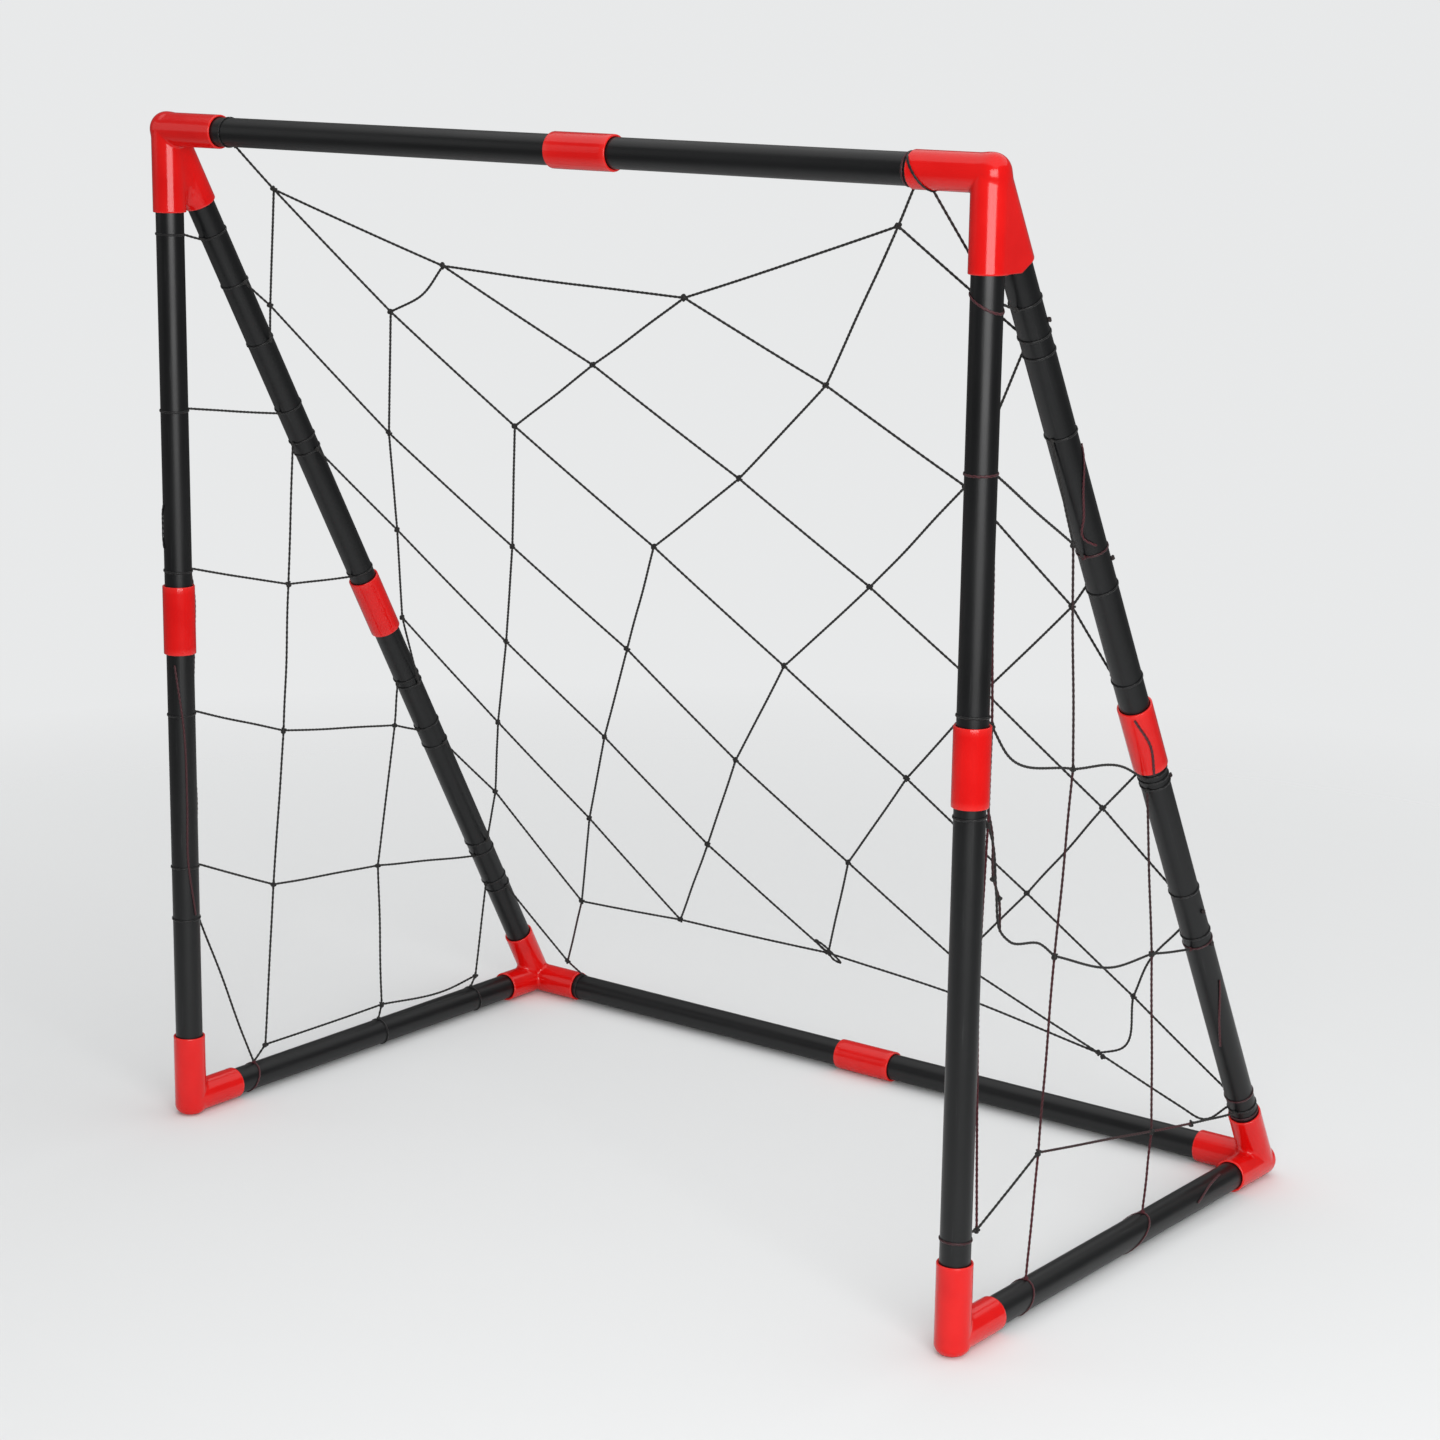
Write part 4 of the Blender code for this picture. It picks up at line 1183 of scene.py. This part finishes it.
# %% One panel of net
def tie_place(tube, share):
    """The middle of a tie on its tube's bare stretch, and the tube's direction."""
    start, end = bare[tube]
    axis = (end - start) / np.linalg.norm(end - start)
    first, last = start + axis * wrap_margin, end - axis * wrap_margin
    return first + (last - first) * share, axis


def make_panel(node, knots, bends, ties, cords, to_world, facing, normal, tints, tilts, extras):
    """Cords and ties of a panel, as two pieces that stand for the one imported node.

    tints says how maroon a tie, or a span "from to", is. extras are more pieces of cord: laps on
    tubes, loose cords through panel shares or ties, and knots beside others.
    """
    places = {name: to_world(*share) for name, share in {**knots, **bends}.items()}
    tie_skin, cord_skin = Skin(), Skin()
    for name, (tube, share) in ties.items():
        centre, axis = tie_place(tube, share)
        out = facing(tube)
        out = out - axis * (out @ axis)
        out /= np.linalg.norm(out)
        # drawn for every tie, used or not, so that a tilt of its own changes no other draw
        tilt = tilts.get(name, draw.normal(0, tie_askew, 2))
        places[name] = centre + out * (tube_radius + wrap_clearance + cord_radius) + axis * tilt[0]
        add_tie(tie_skin, centre, axis, out, tints.get(name, 0.0), tilt)
    for name in knots:
        add_knot(tie_skin, places[name], normal, knot_size, 0.0)
    total = 0.0
    for cord in cords:
        span = [cord.split()[0]]
        for name in cord.split()[1:]:
            span.append(name)
            if name in bends:
                continue
            path = smooth_path([places[n] for n in span], ring_spacing)
            across = np.cross(normal, path[-1] - path[0])
            across /= np.linalg.norm(across)
            path = hang(path, sway_across * across + sway_out * normal)
            total += add_laid_cord(cord_skin, path, normal,
                                   tints.get(span[0] + " " + name, 0.0))
            span = [name]
    for lap in extras.get("laps", ()):
        add_lap(tie_skin, *lap)
    for loop in extras.get("mouth_loops", ()):
        add_mouth_loop(tie_skin, *loop)
    for through, tint in extras.get("loose", ()):
        path = smooth_path([places[p] if isinstance(p, str) else
                            to_world(*p) if len(p) == 2 else p for p in through], ring_spacing)
        total += add_laid_cord(cord_skin, path, normal, tint)
    for across, along in extras.get("knots", ()):
        add_knot(tie_skin, to_world(across, along), normal, extra_knot_size, 0.0)
    for tube, share, degrees in extras.get("tube_knots", ()):
        start, end = bare[tube]
        side, across, axis = frame_along(end - start)
        spoke = cos(radians(degrees)) * side + sin(radians(degrees)) * across
        add_knot(tie_skin, start + (end - start) * share + spoke * (tube_radius + cord_fullness),
                 spoke, tube_knot_size, 0.1)
    made = [make_piece(node.replace("net", "cords"), cord_skin, cord_black, [node]),
            make_piece(node.replace("net", "ties"), tie_skin, cord_black, [node])]
    print(node, "cord", round(total, 2), "m, triangles", [triangle_count(p) for p in made])


print("bare stretches to tie to", len(bare))


# %% From shares to places
def on_back(across, down):
    """Left end of the crossbar's axis + across * width to the right + down * stay's length."""
    return (np.array([-half_width + across * frame_width, front_y, top_z])
            + STAY_DOWN * down * stay_length)


def on_side(side):
    """Foot of a post's axis + back * depth + up * height, as a function of the two shares."""
    return lambda back, up: np.array([side * half_width, front_y + back * frame_depth,
                                      axis_height + up * frame_height])


def back_facing(tube):
    """The net leaves the stays inwards, the crossbar down the slope and the rear bar upwards."""
    if tube.startswith("crossbar"):
        return STAY_DOWN
    if tube.startswith("rear_bar"):
        return UP
    return RIGHT if tube.endswith("left") else -RIGHT


def side_facing(tube):
    """The net leaves a post backwards, a stay square to it and a bar on the ground upwards."""
    return {"post": BACK, "stay": np.cross(STAY_DOWN, RIGHT), "ground": UP}[tube.split("_")[0]]


print("middle of the back panel", on_back(0.5, 0.5).round(3))

# %% What is maroon, what is askew and what hangs loose
bar_mouth = np.array([half_width - top_reach["bar"], front_y, top_z])
loop_foot = (bar_mouth + RIGHT * (loop_middle + loop_slant)
             - UP * (socket_radius + 0.0006))    # where the loop hangs lowest
back_tints = {"right_7": 0.5, "right_8": 0.5, "bar_right": 0.6, "h4 i4": 0.3, "i4 foot": 0.3}
back_extras = {"knots": ((0.838, 0.912),),
               "loose": ((("f6", (0.492, 0.854), (0.487, 0.845), (0.495, 0.849), (0.506, 0.860),
                           (0.512, 0.869), (0.504, 0.867), "f6"), 0.0),),
               "mouth_loops": ((bar_mouth, RIGHT, 0.1),)}
left_tints = {"foot_1": 0.8, "post_3 post_4": 0.5, "post_4 post_5": 0.6}
left_tilts = {"foot_1": (0.006, 0.0)}
left_extras = {"laps": (
    ("post_lower_left", ((0.975, 294), (0.797, 326), (0.62, 331), (0.465, 330), (0.327, 358)), 0.6),
    ("post_upper_left", ((0.222, 252), (0.19, 229), (0.15, 225), (0.105, 248)), 0.0),
)}
right_tints = {"post_1": 0.7, "post_2": 0.6, "post_5": 0.4, "stay_3": 0.5, "stay_6": 0.5,
               "foot_1": 0.8, "foot_2": 0.8, "post_1 post_2": 0.6, "post_2 c0": 0.7,
               "c0 d0": 0.8, "d0 e0": 0.8, "b1 c1": 0.2, "c1 d1": 0.4, "d1 e1": 0.6,
               "e1 foot_1": 0.8, "stay_5 d2": 0.3, "d2 e2": 0.5, "e2 foot_2": 0.7,
               "e1 e2": 0.3, "e2 e3": 0.6}
right_tilts = {"post_1": (0.0, 0.0074), "foot_1": (0.009, 0.0), "foot_2": (0.020, 0.004)}
right_extras = {
    "laps": (
        ("stay_upper_right",
         ((0.605, 34), (0.535, -24), (0.47, -52), (0.422, -72), (0.40, -36)), 0.8),
        ("stay_lower_right", ((0.412, -8), (0.32, -50), (0.235, -76)), 0.7),
        ("ground_bar_right", ((0.925, -64), (0.86, -44), (0.797, -10)), 0.7),
        ("stay_upper_right", ((-0.01, -64), (-0.08, -38), (-0.15, -50)), 0.8, socket_radius)),
    "loose": (
        (((0.046, 0.475), (0.066, 0.444), (0.073, 0.405), (0.091, 0.385), (0.097, 0.355)), 0.3),
        ((loop_foot, "post_1"), 0.1)),
    "knots": ((0.091, 0.385), (0.073, 0.405)),
    "tube_knots": (("stay_upper_right", 0.872, 32), ("stay_upper_right", 0.345, 36),
                   ("stay_lower_right", 0.962, 36), ("stay_lower_right", 0.605, 0),
                   ("stay_lower_right", 0.515, 0)),
}
print("laps on tubes", len(left_extras["laps"]) + len(right_extras["laps"]))

# %% The three panels
back_normal = np.cross(RIGHT, STAY_DOWN)
make_panel("net_back", back_knots, back_bends, back_ties, back_cords, on_back, back_facing,
           back_normal, back_tints, {}, back_extras)
for side, hand, knots, bends, ties, cords, tints, tilts, extras in (
        (-1, "left", left_knots, left_bends, left_ties, left_cords, left_tints,
         left_tilts, left_extras),
        (1, "right", right_knots, right_bends, right_ties, right_cords, right_tints,
         right_tilts, right_extras)):
    named = {name: (tube + "_" + hand, share) for name, (tube, share) in ties.items()}
    make_panel("net_side_" + hand, knots, bends, named, cords, on_side(side), side_facing,
               RIGHT, tints, tilts, extras)

# %% [markdown]
# ## Floor and light
#
# The goal stands on a plain pale floor that fades into an even pale surround, as in a studio. A
# soft box in front, to the right of the camera, gives the long highlight down each post. A broad
# one overhead, behind the goal and to its right, gives the floor its light and the soft shadow,
# and a faint one fills in from the left. The surround is dimmer in reflections, so that the black
# tubes stay black.

# %% Pale floor
floor_columns, floor_reach = 64, 40
fade_start, fade_end = 0.7, 2.0    # metres from the middle, full floor to none
floor_mesh = bpy.data.meshes.new("studio_floor")
rings = np.geomspace(0.5, floor_reach, 24)
spokes = full_turn(floor_columns)
disc = np.stack([rings[:, None] * np.cos(spokes), rings[:, None] * np.sin(spokes),
                 np.zeros((len(rings), floor_columns))], axis=-1).reshape(-1, 3)
disc_faces = grid_faces(len(rings), floor_columns, False)[:, ::-1]
floor_mesh.from_pydata(disc.tolist(), [], disc_faces.tolist() + [list(range(floor_columns))])
floor = bpy.data.objects.new("studio_floor", floor_mesh)
bpy.context.scene.collection.objects.link(floor)

pale, tree, shader = new_material("pale_floor", roughness=0.9, specular=0.0)
place = add_node(tree, "ShaderNodeTexCoord").outputs["Object"]
drift = remap(tree, noise(tree, place, 0.8, detail=1.0), low=0.3, high=0.7)
link(tree, mix_colour(tree, drift, (0.790, 0.800, 0.803), (0.810, 0.819, 0.822)),
     shader.inputs["Base Color"])
distance = add_node(tree, "ShaderNodeVectorMath", operation="LENGTH")
link(tree, place, distance.inputs[0])
link(tree, remap(tree, distance.outputs["Value"], fade_start, fade_end, to_low=1.0, to_high=0.0),
     shader.inputs["Alpha"])
floor_mesh.materials.append(pale)
print("floor fades from", fade_start, "to", fade_end, "m")

# %% Surround
surround = (0.82 * 0.985, 0.82 * 0.995, 0.82)    # pale grey, a little cool
glow_on_matt, glow_in_gloss = 0.32, 0.18
world = bpy.data.worlds.new("studio_surround")
bpy.context.scene.world = world
world.use_nodes = True
tree = world.node_tree
light_path = add_node(tree, "ShaderNodeLightPath")
seen = combine(tree, "MAXIMUM", light_path.outputs["Is Camera Ray"],
               light_path.outputs["Is Transmission Ray"])
backdrop = add_node(tree, "ShaderNodeBackground")
backdrop.inputs["Color"].default_value = (*surround, 1)
glow = tree.nodes["Background"]
glow.inputs["Color"].default_value = (1.0, 1.0, 1.0, 1)
link(tree, remap(tree, light_path.outputs["Is Glossy Ray"], 0.0, 1.0,
                 to_low=glow_on_matt, to_high=glow_in_gloss), glow.inputs["Strength"])
either = add_node(tree, "ShaderNodeMixShader")
link(tree, seen, either.inputs[0])
link(tree, glow.outputs[0], either.inputs[1])
link(tree, backdrop.outputs[0], either.inputs[2])
link(tree, either.outputs[0], tree.nodes["World Output"].inputs["Surface"])
print("backdrop", [round(level, 3) for level in surround])


# %% Lamps
def soft_box(name, azimuth, distance, height, size, power, target):
    """An area lamp at (sin a, -cos a) times the distance and at a height, facing the target."""
    lamp = bpy.data.lights.new(name, "AREA")
    lamp.shape, (lamp.size, lamp.size_y), lamp.energy = "RECTANGLE", size, power
    spot = Vector((sin(radians(azimuth)) * distance, -cos(radians(azimuth)) * distance, height))
    aim = (Vector(target) - spot).to_track_quat("-Z", "Y").to_matrix().to_4x4()
    rig = bpy.data.objects.new(name, lamp)
    rig.matrix_world = Matrix.Translation(spot) @ aim
    bpy.context.scene.collection.objects.link(rig)


soft_box("front_soft_box", azimuth=48, distance=3.05, height=1.15, size=(2.3, 1.7), power=75,
         target=(0, 0, 1.15))
soft_box("overhead_soft_box", azimuth=141, distance=1.3, height=3.2, size=(6.5, 6.5), power=120,
         target=(0.82, 1.01, 0))
soft_box("left_fill", azimuth=-50, distance=3.6, height=1.6, size=(1.8, 1.8), power=6,
         target=(0, 0, 0.5))

# %% [markdown]
# ## Camera
#
# The photograph was taken from the front right, a little above the crossbar. Position, turn,
# tilt and lens were worked out from the nine tube axes in it. The roll is under a degree.

# %% Camera at the photograph's place
camera = bpy.data.objects.new("photo_camera", bpy.data.cameras.new("photo_camera"))
bpy.context.scene.collection.objects.link(camera)
bpy.context.scene.camera = camera
image_pixels, focal_pixels = 1440, 3173.1
camera_place = (1.6851, -2.2085, 1.0382)
camera.data.sensor_width = 36.0
camera.data.lens = focal_pixels / image_pixels * camera.data.sensor_width
camera.data.clip_start, camera.data.clip_end = 0.05, 200
turn, tilt, roll = radians(-37.326), radians(12.9), radians(0.857)
forward = Vector((sin(turn) * cos(tilt), cos(turn) * cos(tilt), -sin(tilt)))
level = forward.cross(Vector((0, 0, 1))).normalized()
upright = level.cross(forward)
to_right = level * cos(roll) + upright * sin(roll)
to_top = upright * cos(roll) - level * sin(roll)
camera.matrix_world = (Matrix.Translation(camera_place)
                       @ Matrix((to_right, to_top, -forward)).transposed().to_4x4())
bpy.context.scene.view_settings.view_transform = "Standard"
print("lens", round(camera.data.lens, 2), "mm")
